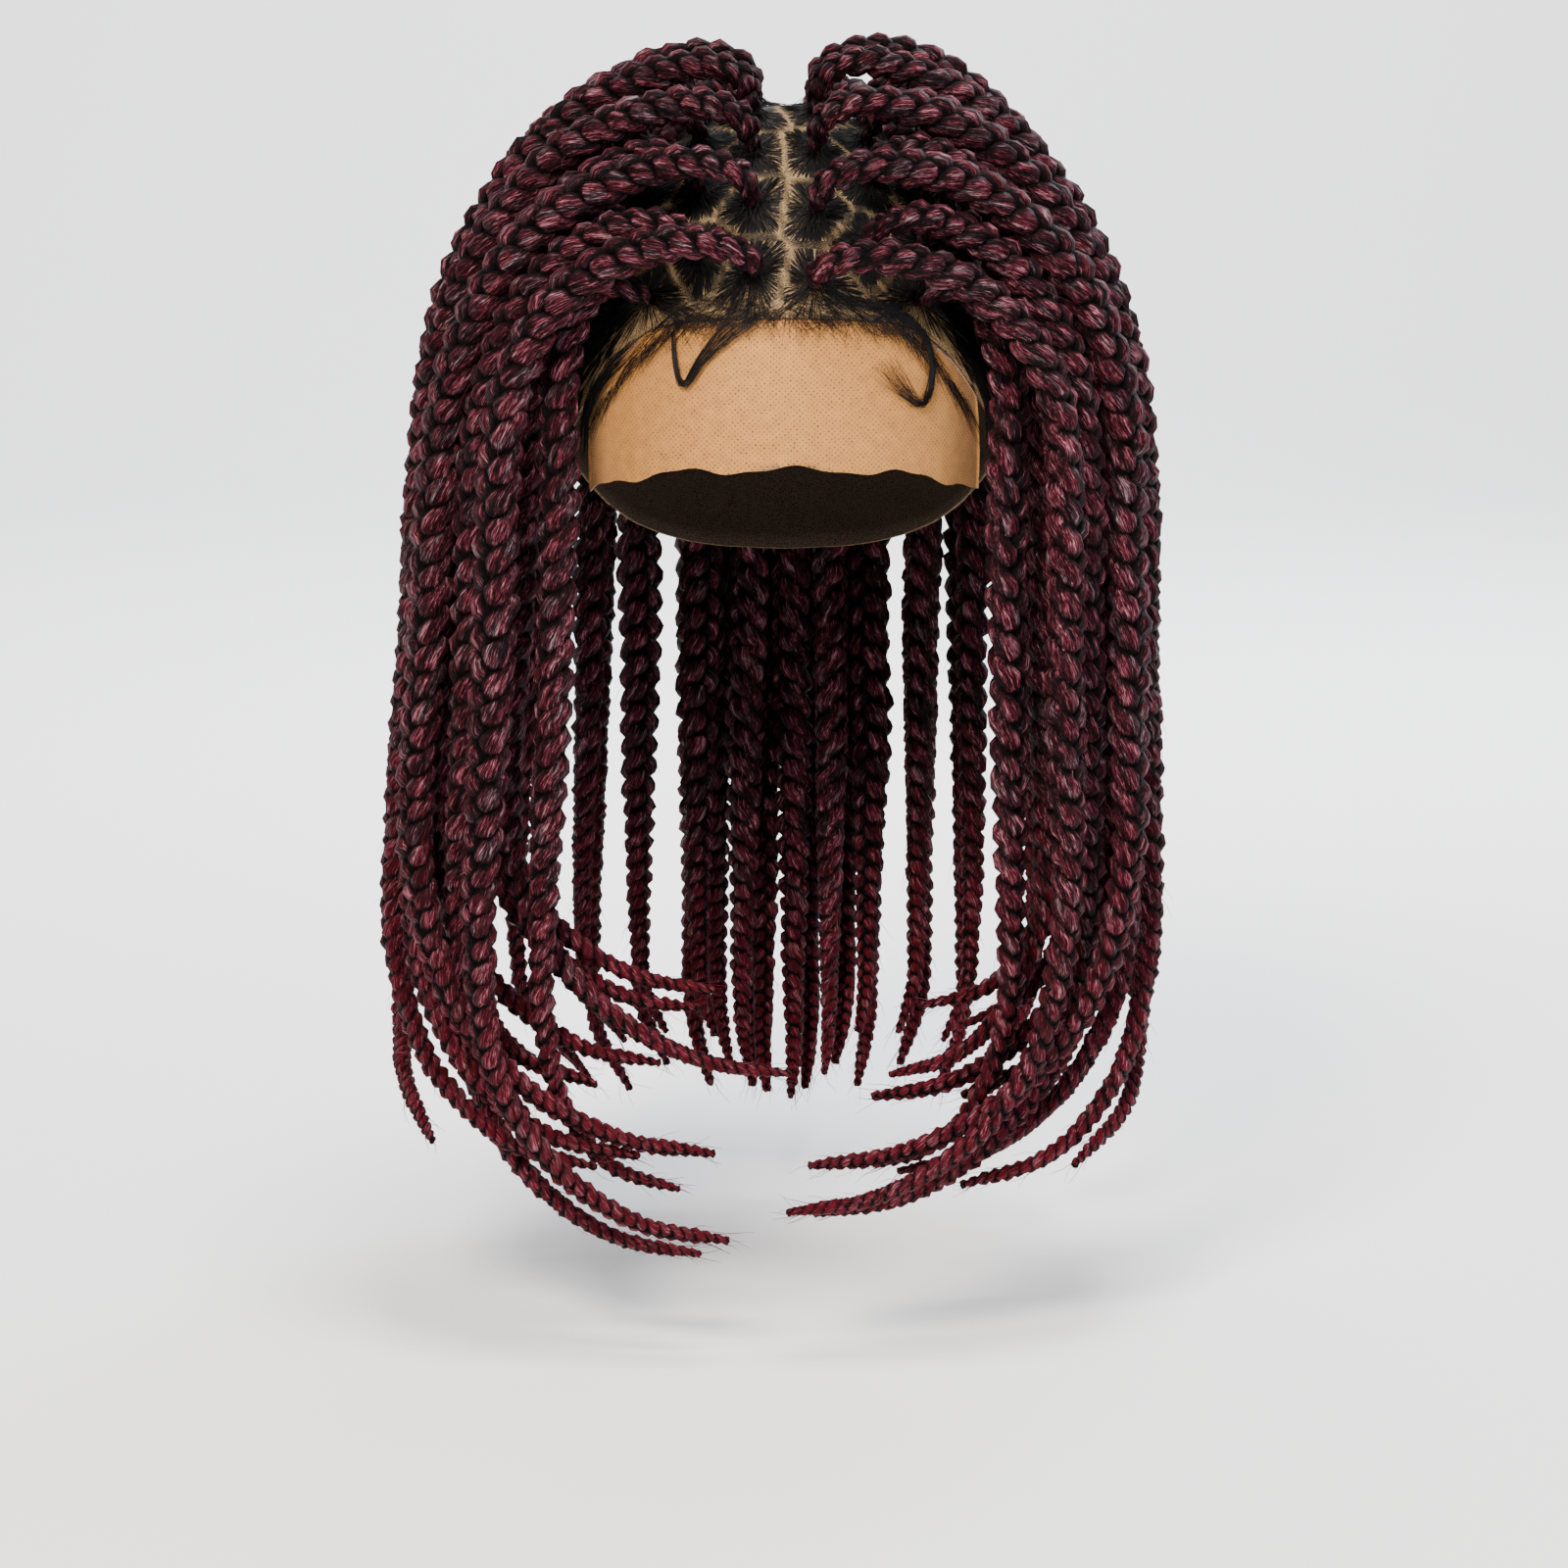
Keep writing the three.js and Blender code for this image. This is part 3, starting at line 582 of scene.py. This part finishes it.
strays = {
    "frizz": 88,  # stray hairs a plait
    "frizzLength": (3 * mm, 9 * mm),
    "frizzRadius": 0.1 * mm,
    "frizzLean": (0.1, 0.55),
    "frizzBare": 14,  # the first of so many parts of a plait, at its root, has none
    "wisps": 9,  # loose hairs at its tip
    "wispLength": (4 * mm, 11 * mm),
    "wispRadius": 0.13 * mm,
    "wispLean": (0, 0.3),
    "wispZone": 12,  # they start in the last of so many parts of a plait
    "startsAt": 0.72,  # how far out from the plait's line, in half widths
    "lean": (1.3, 0.9),  # how much of its lean a hair has halfway along and at its end
    "aside": 0.35,  # how far it strays along the plait's surface
    "asideHalfway": 0.4,
    "taper": (1, 0.8, 0.35),
    "shade": 0.8,  # how much painted crease shade a stray hair gets: as far out of the creases as this
    "apart": 90,  # mm, how unlike two hairs' streaks may be
}

hairThread = Thread(3, 2)
strayHairs = copiesOf(hairThread.mesh, strays["frizz"] + strays["wisps"])
strandThreads = {layer: Thread(*size) for layer, size in plaits["strands"].items()}
plaitTemplates = {
    layer: joined([copiesOf(thread.mesh, 3), strayHairs]) for layer, thread in strandThreads.items()}


# Rings of a CAD braid or lock from root to tip: centres, half widths, and wide directions. Its two end points
# are the vertices whose neighbours all have five edges
def ringsOf(nodeName):
    bm = bmesh.new()
    bm.from_mesh(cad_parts[nodeName].data)
    bmesh.ops.remove_doubles(bm, verts=bm.verts, dist=weld)
    poles = [v for v in bm.verts if all(len(e.other_vert(v).link_edges) == 5 for e in v.link_edges)]
    level = [max(poles, key=lambda v: v.co.z)]
    seen = set(level)
    centres, halfWidths, wideWays = [], [], []
    while True:
        around = {e.other_vert(v) for v in level for e in v.link_edges} - seen
        if len(around) < 3:
            break
        level = sorted(around, key=lambda v: v.index)
        seen |= around
        spots = np.array([v.co for v in level])
        centre = spots.mean(axis=0)
        spokes = spots - centre
        widest = spokes[np.argmax(lengthOf(spokes))]
        if wideWays and np.dot(widest, wideWays[-1]) < 0:
            widest = -widest
        centres.append(centre)
        halfWidths.append(np.linalg.norm(widest))
        wideWays.append(widest / np.linalg.norm(widest))
    bm.free()
    return np.array(centres), np.array(halfWidths), np.array(wideWays)


# Smooth curve through values at uneven stops, read at other stops
def curveThrough(stops, values, at):
    gaps = np.diff(stops)[:, None]
    slopes = np.diff(values, axis=0) / gaps
    tangents = np.empty_like(values)
    tangents[1:-1] = (slopes[:-1] * gaps[1:] + slopes[1:] * gaps[:-1]) / (gaps[1:] + gaps[:-1])
    tangents[0] = slopes[0]
    tangents[-1] = slopes[-1]
    i = np.clip(np.searchsorted(stops, at, side="right") - 1, 0, len(gaps) - 1)
    t = ((at - stops[i]) / gaps[i, 0])[:, None]
    start = (2 * t ** 3 - 3 * t ** 2 + 1) * values[i] + (t ** 3 - 2 * t ** 2 + t) * gaps[i] * tangents[i]
    end = (3 * t ** 2 - 2 * t ** 3) * values[i + 1] + (t ** 3 - t ** 2) * gaps[i] * tangents[i + 1]
    return start + end


# A slow random wave along a line, between -1 and 1
def wave(random, lengths, wavelength):
    total = np.zeros_like(lengths)
    for octave in (1, 1.7, 2.9):
        total += np.sin(lengths * octave * 2 * math.pi / wavelength + random.uniform(*anyPhase)) / octave
    return total / 1.93  # the most that the three come to


# How far along a line each of its rings lies
def runOf(centres):
    return np.concatenate([[0], np.cumsum(lengthOf(np.diff(centres, axis=0))[:, 0])])


# A plait's own line, with the direction that its broad side faces, turned to the outside of the wig. Its
# rings lie closer where it is narrow
def lineOf(nodeName, rings, random):
    centres, halfWidths, wideWays = ringsOf(nodeName)
    stops = runOf(centres)
    known = np.column_stack([centres, halfWidths, wideWays])
    fine = np.linspace(0, stops[-1], plaits["samples"])
    grown = plaits["rootWidth"] + (plaits["width"] - plaits["rootWidth"]) * ease(
        fine / fine[-1], 0, plaits["fullFrom"])
    widths = 2 * grown * curveThrough(stops, known, fine)[:, 3]
    pitch = plaits["pitch"] * random.uniform(*plaits["pitchRange"])
    turns = np.gradient(fine) * 2 * math.pi / (pitch * widths)
    phases = np.cumsum(turns) - turns[0]
    detail = np.cumsum(turns * np.sqrt(widths))
    phase = np.interp(np.linspace(detail[0], detail[-1], rings + 1), detail, phases)
    lengths = np.interp(phase, phases, fine)
    found = curveThrough(stops, known, lengths)
    points, across = found[:, :3], found[:, 4:]
    width = np.interp(lengths, fine, widths)
    ways = unit(np.gradient(points, axis=0))
    across = unit(across - ways * np.sum(across * ways, axis=1, keepdims=True))
    out = np.cross(ways, across)
    away = points - formCentre
    away[:, 2] = np.maximum(away[:, 2], 0)
    if np.sum(out * away) < 0:
        out = -out
    out = out - plaits["towardsFront"] * np.array([0, 1, 0])
    out = unit(out - ways * np.sum(out * ways, axis=1, keepdims=True))
    across = np.cross(out, ways)
    share, wavelength = plaits["rollWave"]
    roll = (random.uniform(-1, 1) + share * wave(random, lengths, wavelength))[:, None]
    roll = np.radians(plaits["roll"]) * roll * ease(lengths, 0, plaits["rollOver"])[:, None]
    across, out = across * np.cos(roll) + out * np.sin(roll), out * np.cos(roll) - across * np.sin(roll)
    loose = plaits["wander"] * ease(lengths, *plaits["wanderOver"])
    points = points + across * (loose * wave(random, lengths, plaits["wanderLength"]))[:, None]
    return {"points": points, "width": width, "across": across, "out": out, "phase": phase,
            "lengths": lengths, "ways": ways}


# The three strands of a plait, woven about its line
def strandsOf(line, thread, random):
    width, lengths = line["width"], line["lengths"]
    thickness = width * plaits["thickness"]
    rootPinch, rootOver = plaits["rootPinch"]
    tipPinch, tipOver = plaits["tipPinch"]
    gathered = 1 - rootPinch + rootPinch * ease(lengths, 0, rootOver)
    gathered = gathered * (1 - tipPinch * ease(lengths, lengths[-1] - tipOver, lengths[-1]))
    phases = line["phase"] + 2 * math.pi * np.arange(3)[:, None] / 3
    halfWidth = plaits["strandWidth"] * width * gathered
    halfThickness = plaits["strandThickness"] * thickness * gathered
    aside = (np.sin(phases) + plaits["square"] * np.sin(3 * phases)) / (1 - plaits["square"])
    sideways = (width * gathered / 2 - halfWidth) * aside
    outwards = -(thickness * gathered / 2 - halfThickness) * np.sin(2 * phases)
    paths = line["points"] + sideways[..., None] * line["across"] + outwards[..., None] * line["out"]
    long, short = plaits["swells"]
    swell = 1 - plaits["plump"] * (long * np.cos(2 * phases) + short * np.cos(4 * phases))
    uneven = 1 + plaits["uneven"] * np.array([
        wave(random, lengths, plaits["unevenLength"]) for _ in range(3)])
    spots = thread.along(paths, halfWidth * swell * uneven, halfThickness * swell * uneven, line["out"])
    lumps = 1 + plaits["lumps"] * random.normal(0, 1, spots.shape[:2] + (1,))
    centres = paths[:, thread.ring]
    return centres + (spots - centres) * lumps, paths, halfWidth, thickness, gathered


# Where each vertex of the strands lies in the fibres, in mm along and across, and how far out of a crease,
# which sets its painted crease shade
def fibresOf(spots, paths, halfWidth, line, thickness, gathered, thread):
    ring = thread.ring
    steps = lengthOf(np.diff(paths, axis=1))[..., 0]
    runs = np.concatenate([np.zeros((3, 1)), np.cumsum(steps, axis=1)], axis=1)[:, ring]
    round1 = halfWidth[ring] * thread.acrossShare
    round2 = halfWidth[ring] * thread.outShare
    fibre = np.stack([runs, np.tile(round1, (3, 1)), np.tile(round2, (3, 1))], axis=-1) / mm
    offset = spots - line["points"][ring]
    sideways = np.sum(offset * line["across"][ring], axis=-1) / (line["width"] * gathered / 2)[ring]
    outwards = np.sum(offset * line["out"][ring], axis=-1) / (thickness * gathered / 2)[ring]
    creaseShadeMask = ease(np.hypot(sideways, outwards), *plaits["shadedCreases"])
    return fibre, creaseShadeMask


# Stray hairs along a plait and loose ones at its tip
def straysOf(line, thickness, random):
    count, tips = strays["frizz"], strays["wisps"]
    last = len(line["lengths"]) - 1
    ring = np.concatenate([
        random.integers(last // strays["frizzBare"], last, count),
        random.integers(last - last // strays["wispZone"], last, tips)])
    angle = random.uniform(0, 2 * math.pi, count + tips)
    length = np.concatenate([
        random.uniform(*strays["frizzLength"], count), random.uniform(*strays["wispLength"], tips)])
    lean = np.concatenate([
        random.uniform(*strays["frizzLean"], count), random.uniform(*strays["wispLean"], tips)])
    radius = np.concatenate([np.full(count, strays["frizzRadius"]), np.full(tips, strays["wispRadius"])])
    across, out, way = (line[key][ring] for key in ("across", "out", "ways"))
    around = across * np.cos(angle)[:, None] + out * np.sin(angle)[:, None]
    edge = across * (np.cos(angle) * line["width"][ring] / 2)[:, None] + out * (
        np.sin(angle) * thickness[ring] / 2)[:, None]
    start = line["points"][ring] + edge * strays["startsAt"]
    side = np.cross(way, around) * random.normal(0, strays["aside"], count + tips)[:, None]
    leanHalfway, leanAtEnd = strays["lean"]
    halfway = way + around * (lean * leanHalfway)[:, None] + side * strays["asideHalfway"]
    middle = start + halfway * (length / 2)[:, None]
    end = start + (way + around * lean[:, None] * leanAtEnd + side) * length[:, None]
    paths = np.stack([start, middle, end], axis=1)
    radii = radius[:, None] * np.array(strays["taper"])
    return hairThread.along(paths, radii, radii, around[:, None]), ring


# One plait in place of one CAD braid. Gives the place of its root
def makePlait(nodeName, number):
    random = np.random.default_rng(plaits["seed"] + number)
    layer = nodeName.split("_")[-1]
    thread = strandThreads[layer]
    line = lineOf(nodeName, thread.spans, random)
    spots, paths, halfWidth, thickness, gathered = strandsOf(line, thread, random)
    fibre, creaseShadeMask = fibresOf(spots, paths, halfWidth, line, thickness, gathered, thread)
    apartAlong, apartAcross = plaits["apart"]
    fibre[..., 0] += random.uniform(0, apartAlong)
    fibre[..., 1:] += random.uniform(0, apartAcross, (3, 1, 2))
    straySpots, ring = straysOf(line, thickness, random)
    share = line["lengths"] / line["lengths"][-1]
    # look holds each vertex's share along the plait and how far it is out of the painted crease shade
    look = np.stack([np.tile(share[thread.ring], (3, 1)), creaseShadeMask, np.zeros_like(creaseShadeMask)], axis=-1)
    strayFibre = np.zeros_like(straySpots) + random.uniform(0, strays["apart"], (len(straySpots), 1, 3))
    strayLook = np.zeros_like(straySpots)
    strayLook[..., 0] = share[ring][:, None]
    strayLook[..., 1] = strays["shade"]
    mesh = plaitTemplates[layer].copy()
    setVertices(mesh, np.concatenate([spots.reshape(-1, 3), straySpots.reshape(-1, 3)]))
    setAttribute(mesh, "fibre", np.concatenate([fibre.reshape(-1, 3), strayFibre.reshape(-1, 3)]))
    setAttribute(mesh, "look", np.concatenate([look.reshape(-1, 3), strayLook.reshape(-1, 3)]))
    newPiece(nodeName.replace("braid", "plait"), mesh, hairMaterial, [nodeName])
    return line["points"][0]


braidNames = sorted(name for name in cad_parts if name.startswith("braid_"))
roots = np.array([makePlait(nodeName, number) for number, nodeName in enumerate(braidNames)])
print(len(braidNames), "plaits are woven")

# Cap and front lace


# Copy of a CAD shell on the form's own smooth shape: each face is cut finer, and its outside, which stands a
# wall's thickness out, goes to a height over the inside
def smoothShell(nodeName, cuts, wall, height):
    bm = bmesh.new()
    bm.from_mesh(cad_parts[nodeName].data)
    bmesh.ops.remove_doubles(bm, verts=bm.verts, dist=weld)
    raised = bm.verts.layers.float.new("raised")
    for v in bm.verts:
        spot = np.array(v.co)
        share = np.linalg.norm((spot - formCentre) / formRadii) - 1
        v[raised] = 1 if share * formRadii.min() > wall * 0.45 else 0  # half way out parts the two sides
    bmesh.ops.subdivide_edges(bm, edges=bm.edges, cuts=cuts, use_grid_fill=True)
    for v in bm.verts:
        direction = unit((np.array(v.co) - formCentre) / formRadii)
        v.co = overForm(direction, height * v[raised])
    mesh = bpy.data.meshes.new(nodeName)
    bm.to_mesh(mesh)
    bm.free()
    for face in mesh.polygons:
        face.use_smooth = True
    return mesh


def verticesOf(mesh):
    spots = np.empty(len(mesh.vertices) * 3)
    mesh.vertices.foreach_get("co", spots)
    return spots.reshape(-1, 3)


# Lower edge of a CAD shell: azimuths from the front, in radians, and levels
def lowerEdgeOf(nodeName):
    spots = verticesOf(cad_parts[nodeName].data)
    azimuths = np.round(np.degrees(np.arctan2(spots[:, 0], -spots[:, 1])))
    known = np.unique(azimuths)
    return np.radians(known), np.array([spots[azimuths == one, 2].min() for one in known])


# The two plaits' roots nearest to each spot, how far the first is, and how far the parting between the two
def growthAt(spots):
    gaps = np.linalg.norm(spots[:, None] - roots, axis=2)
    order = np.argsort(gaps, axis=1)[:, :2]
    near, second = np.take_along_axis(gaps, order, axis=1).T
    return order.T, near, (second - near) / 2


cap = {
    "cuts": 4,  # of each edge of the CAD cap's faces
    "bare": {"rows": (0, 0.6), "middle": (0.1, 1)},  # mm from a parting, where hair begins to lie on the lace
    "first": 0.15,  # how much covers it there
    "thicken": {"rows": 0.045, "middle": 0.02, "hairline": 0.02},  # how fast it thickens from there, a mm
    "fan": 6.5,  # how finely the lying hair fans out round a root
    "apart": 90,  # how unlike two roots' hair may be
    "seed": 3,
}


def makeCap():
    mesh = smoothShell("lace_cap", cap["cuts"], capWall, capWall)
    spots = verticesOf(mesh)
    (nearest, second), _, parting = growthAt(spots)
    bare, thicken = cap["bare"], cap["thicken"]
    acrossMiddle = roots[nearest, 0] * roots[second, 0] < 0
    slope = np.where(acrossMiddle, thicken["middle"], thicken["rows"])
    bareMost, bareLeast = np.where(acrossMiddle[:, None], bare["middle"], bare["rows"]).T
    azimuth = np.arctan2(spots[:, 0], -spots[:, 1])
    above = spots[:, 2] - np.interp(azimuth, *lowerEdgeOf("lace_cap"), period=2 * math.pi)
    begun = cap["first"] * ease(parting / mm, bareMost, bareLeast)
    grown = np.minimum(begun + parting / mm * slope, above / mm * thicken["hairline"])
    cover = mesh.attributes.new("cover", "FLOAT", "POINT")
    cover.data.foreach_set("value", np.clip(grown, 0, 1))
    shift = np.random.default_rng(cap["seed"]).uniform(0, cap["apart"], roots.shape)
    setAttribute(mesh, "growth", unit(spots - roots[nearest]) * cap["fan"] + shift[nearest])
    newPiece("scalp_lace_cap", mesh, scalpMaterial, ["lace_cap"])


makeCap()

frontSheet = {
    "cuts": 5,  # of each edge of the CAD apron's faces
    "wall": 1 * mm,  # of the CAD apron
    "thickness": 0.45 * mm,
    "waves": (1.1 * mm, 0.4 * mm),  # heights of the long and the short waves of its cut edge
    "waveLengths": (33, 14),  # mm
    "edgeBand": 9 * mm,  # the waves fade out over this height
    "flat": (0.17, 0.062),  # as cut, metres
}


def makeFrontSheet():
    mesh = smoothShell("lace_apron", frontSheet["cuts"], frontSheet["wall"], frontSheet["thickness"])
    spots = verticesOf(mesh)
    azimuth = np.arctan2(spots[:, 0], -spots[:, 1])
    round1 = azimuth * formRadii[:2].mean() / mm
    lowest = np.interp(azimuth, *lowerEdgeOf("lace_apron"))
    near = ease(spots[:, 2], lowest + frontSheet["edgeBand"], lowest)
    long, short = frontSheet["waves"]
    longWay, shortWay = frontSheet["waveLengths"]
    cut = long * np.sin(2 * math.pi * round1 / longWay + 1) + short * np.sin(2 * math.pi * round1 / shortWay)
    outside = lengthOf((spots - formCentre) / formRadii)[:, 0] - 1 > 0.002  # a share of the form's radii
    lift = np.where(outside, frontSheet["thickness"], 0)
    moved = (spots + np.outer(near * cut, [0, 0, 1]) - formCentre) / formRadii
    spots = overForm(moved, lift)
    setVertices(mesh, spots)
    setAttribute(mesh, "weave", np.column_stack([round1, spots[:, 2] / mm, np.zeros(len(spots))]))
    piece = newPiece("front_lace_apron", mesh, laceMaterial, ["lace_apron"])


makeFrontSheet()
print("cap and front lace are fitted")

# Natural hair under the plaits, the hairline and the gelled locks

scalpHair = {
    "hairs": 7400,
    "tries": 5,  # hairs thrown for each that is wanted
    "lowest": -0.46,  # how far from the form's widest level, in crown heights
    "aboveEdge": 0.5 * mm,
    "radius": 0.11 * mm,
    "fromParting": (0.4 * mm, 4.5 * mm),  # where hairs start, least and most
    "shortest": 2 * mm,
    "longest": 30 * mm,
    "lifts": ((0, 0.25), (0.55, 1.1)),  # mm over the cap, at these shares of the way
    "rise": (1 * mm, 4.5 * mm),  # how high it has risen where it enters the plait
    "spread": 1.3 * mm,  # of the ends within a plait's root
    "seed": 5,
}

rootThread = Thread(3, 2)


# Random directions from the form's centre that meet the cap
def directionsOnCap(count, random):
    edgeAzimuths, edgeLevels = lowerEdgeOf("lace_cap")
    azimuth = random.uniform(-math.pi, math.pi, count)
    level = formCentre[2] + formRadii[2] * random.uniform(scalpHair["lowest"], 1, count)
    edge = np.interp(azimuth, edgeAzimuths, edgeLevels, period=2 * math.pi)
    kept = level > edge + scalpHair["aboveEdge"]
    return directionsAt(azimuth[kept], level[kept])


def directionsAt(azimuth, level):
    height = (level - formCentre[2]) / formRadii[2]
    flat = np.sqrt(np.maximum(0, 1 - height ** 2))
    return np.stack([flat * np.sin(azimuth), -flat * np.cos(azimuth), height], axis=-1)


def makeScalpHair():
    random = np.random.default_rng(scalpHair["seed"])
    directions = directionsOnCap(scalpHair["hairs"] * scalpHair["tries"], random)
    starts = overForm(directions, np.full(len(directions), capWall))
    (nearest, _), gap, parting = growthAt(starts)
    least, most = scalpHair["fromParting"]
    kept = (parting > least) & (parting < most)
    kept &= (gap > scalpHair["shortest"]) & (gap < scalpHair["longest"])
    kept = np.flatnonzero(kept)[:scalpHair["hairs"]]
    starts, goal = starts[kept], roots[nearest[kept]]
    normals = formNormals(goal)
    rise = random.uniform(*scalpHair["rise"], len(starts))
    spread = random.normal(0, scalpHair["spread"], (len(starts), 3))
    ends = goal + normals * rise[:, None] + spread
    paths = []
    for share, lift in scalpHair["lifts"]:
        between = starts + (goal + spread - starts) * share
        lifts = np.full(len(starts), capWall + lift * mm)
        paths.append(overForm((between - formCentre) / formRadii, lifts))
    paths = np.stack([*paths, ends], axis=1)
    radii = np.full(paths.shape[:2], scalpHair["radius"])
    spots = rootThread.along(paths, radii, radii, formNormals(paths))
    for side, name in ((-1, "left"), (1, "right")):
        mine = starts[:, 0] * side > 0
        drawHairs(f"scalp_hair_{name}", rootThread, spots[mine], random)


# One piece of black hair from the vertices of its threads
def drawHairs(name, thread, spots, random, replacing=()):
    mesh = joined([copiesOf(thread.mesh, len(spots))])
    setVertices(mesh, spots)
    fibre = np.broadcast_to(random.uniform(0, gelledHair["apart"], (len(spots), 1, 3)), spots.shape)
    setAttribute(mesh, "fibre", fibre)
    newPiece(name, mesh, gelMaterial, replacing)


makeScalpHair()

locks = {
    "hairs": 44,
    "radius": 0.14 * mm,
    "radiusRange": (0.7, 1.1),  # of that
    "spread": {  # half the bundle's width from root to tip, mm
        "forehead_curl_left": (4, 2.8, 1.4, 0.8, 0.6),
        "forehead_curl_right": (2.6, 1.8, 1.1, 1.4, 6.5),
        "temple_lock_left": (3.4, 2.6, 2.2, 2.6, 3.6),
        "temple_lock_right": (3.4, 2.6, 2.2, 2.6, 3.6),
    },
    "starts": (0.55, 1.7),  # furthest start along the lock, and how strongly hairs start near its root
    "endsShort": (0.3, 2),  # the same for their ends, from its tip
    "weave": (0.25, 9),  # how far a hair wanders across the bundle, and how fast, in radians a length
    "height": 0.8 * mm,  # of the bundle, over the lock's own line
    "heights": (-0.2, 1),  # where its hairs lie, as shares of that
    "flatter": 0.5,  # how much lower the bundle is at its sides
    "taper": (0.1, 0.93),  # part of a half wave that a hair's radius follows
    "seed": 300,
}

lockThread = Thread(3, 14)


# One gelled lock in place of its CAD solid, hair by hair
def makeLock(nodeName, number):
    random = np.random.default_rng(locks["seed"] + number)
    centres, _, _ = ringsOf(nodeName)
    stops = runOf(centres)
    count, rings = locks["hairs"], lockThread.spans + 1
    startMost, startPower = locks["starts"]
    endMost, endPower = locks["endsShort"]
    first = random.uniform(0, startMost, count) ** startPower
    last = 1 - random.uniform(0, 1, count) ** endPower * endMost
    share = first[:, None] + (last - first)[:, None] * np.linspace(0, 1, rings)
    centre = curveThrough(stops, centres, share.reshape(-1) * stops[-1]).reshape(count, rings, 3)
    ways = unit(np.gradient(centre, axis=1))
    normals = formNormals(centre)
    sideways = np.cross(ways, normals)
    spread = locks["spread"][nodeName]
    halfWidth = np.interp(share, np.linspace(0, 1, len(spread)), spread) * mm
    reach, pace = locks["weave"]
    place = random.uniform(-1, 1, count)[:, None]
    place = place + reach * np.sin(share * pace + random.uniform(*anyPhase, (count, 1)))
    height = random.uniform(*locks["heights"], count)[:, None] * locks["height"]
    height = height * (1 - np.abs(place) * locks["flatter"])
    paths = centre + sideways * (halfWidth * place)[..., None] + normals * height[..., None]
    taper = np.sin(np.pi * np.linspace(*locks["taper"], rings)) ** 0.5
    radii = locks["radius"] * taper * random.uniform(*locks["radiusRange"], (count, 1))
    drawHairs(f"gelled_{nodeName}", lockThread, lockThread.along(paths, radii, radii, normals), random,
              [nodeName])


lockNames = sorted(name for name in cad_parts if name.startswith(("forehead_curl", "temple_lock")))
for number, nodeName in enumerate(lockNames):
    makeLock(nodeName, number)

hairline = {  # azimuths in degrees from the middle of the front, heights and depths in mm
    "swoops": 120,  # hairs combed along the hairline, a side
    "swoopFrom": (-2, 30),
    "swoopReach": (5, 20),
    "swoopDepth": (-9, -0.5),  # below the hairline, so these are above it
    "swoopSag": (0, 4),
    "swoopWeave": (1.2, 5),  # how far it wanders up and down, and how fast, in radians a length
    "swoopLift": (0.1, 0.9),  # over the cap
    "swoopTaper": (0.12, 0.94),  # part of a half wave that its radius follows
    "swoopRadius": 0.1 * mm,
    "fuzz": 330,  # short fine hairs below it, a side
    "fuzzFrom": (0, 50),
    "fuzzTurn": (2, 4),  # mean and spread of how far it turns outwards
    "fuzzLength": (2, 9),
    "fuzzDepth": (-3, 0.5),
    "fuzzLift": (0, 1.4),
    "fuzzTaper": (1, 0.4),
    "fuzzRadius": 0.09 * mm,
    "seed": 40,
}

swoopThread = Thread(3, 6)


# Hairs over the form at given azimuths (radians) and depths below the hairline (mm), ring by ring
def hairsAlongHairline(azimuth, below, lift, radii):
    edge = np.interp(azimuth, *lowerEdgeOf("lace_cap"))
    paths = overForm(directionsAt(azimuth, edge - below * mm), capWall + lift * mm)
    return swoopThread.along(paths, radii, radii, formNormals(paths))


def makeHairline(side, name):
    random = np.random.default_rng(hairline["seed"] + side)
    rings = np.linspace(0, 1, swoopThread.spans + 1)
    count = hairline["swoops"]
    first = random.uniform(*hairline["swoopFrom"], count)[:, None]
    reach = random.uniform(*hairline["swoopReach"], count)[:, None]
    azimuth = side * np.radians(first + reach * rings)
    start = random.uniform(*hairline["swoopDepth"], count)[:, None]
    sag = random.uniform(*hairline["swoopSag"], count)[:, None]
    height, pace = hairline["swoopWeave"]
    below = start + sag * np.sin(np.pi * rings) + height * np.sin(rings * pace + first)
    lift = random.uniform(*hairline["swoopLift"], count)[:, None] * np.ones_like(rings)
    taper = np.sin(np.pi * np.linspace(*hairline["swoopTaper"], len(rings)))
    radii = hairline["swoopRadius"] * taper * np.ones((count, 1))
    combed = hairsAlongHairline(azimuth, below, lift, radii)

    count = hairline["fuzz"]
    first = random.uniform(*hairline["fuzzFrom"], count)[:, None]
    turn = random.normal(*hairline["fuzzTurn"], count)[:, None]
    azimuth = side * np.radians(first + turn * rings)
    longest = random.uniform(*hairline["fuzzLength"], count)[:, None]
    below = random.uniform(*hairline["fuzzDepth"], count)[:, None] + longest * rings
    lift = random.uniform(*hairline["fuzzLift"], count)[:, None] * rings
    taper = np.linspace(*hairline["fuzzTaper"], len(rings))
    radii = hairline["fuzzRadius"] * taper * np.ones((count, 1))
    fine = hairsAlongHairline(azimuth, below, lift, radii)
    drawHairs(f"hairline_{name}", swoopThread, np.concatenate([combed, fine]), random)


for side, name in ((-1, "left"), (1, "right")):
    makeHairline(side, name)
print("scalp hair, hairline and locks are combed")
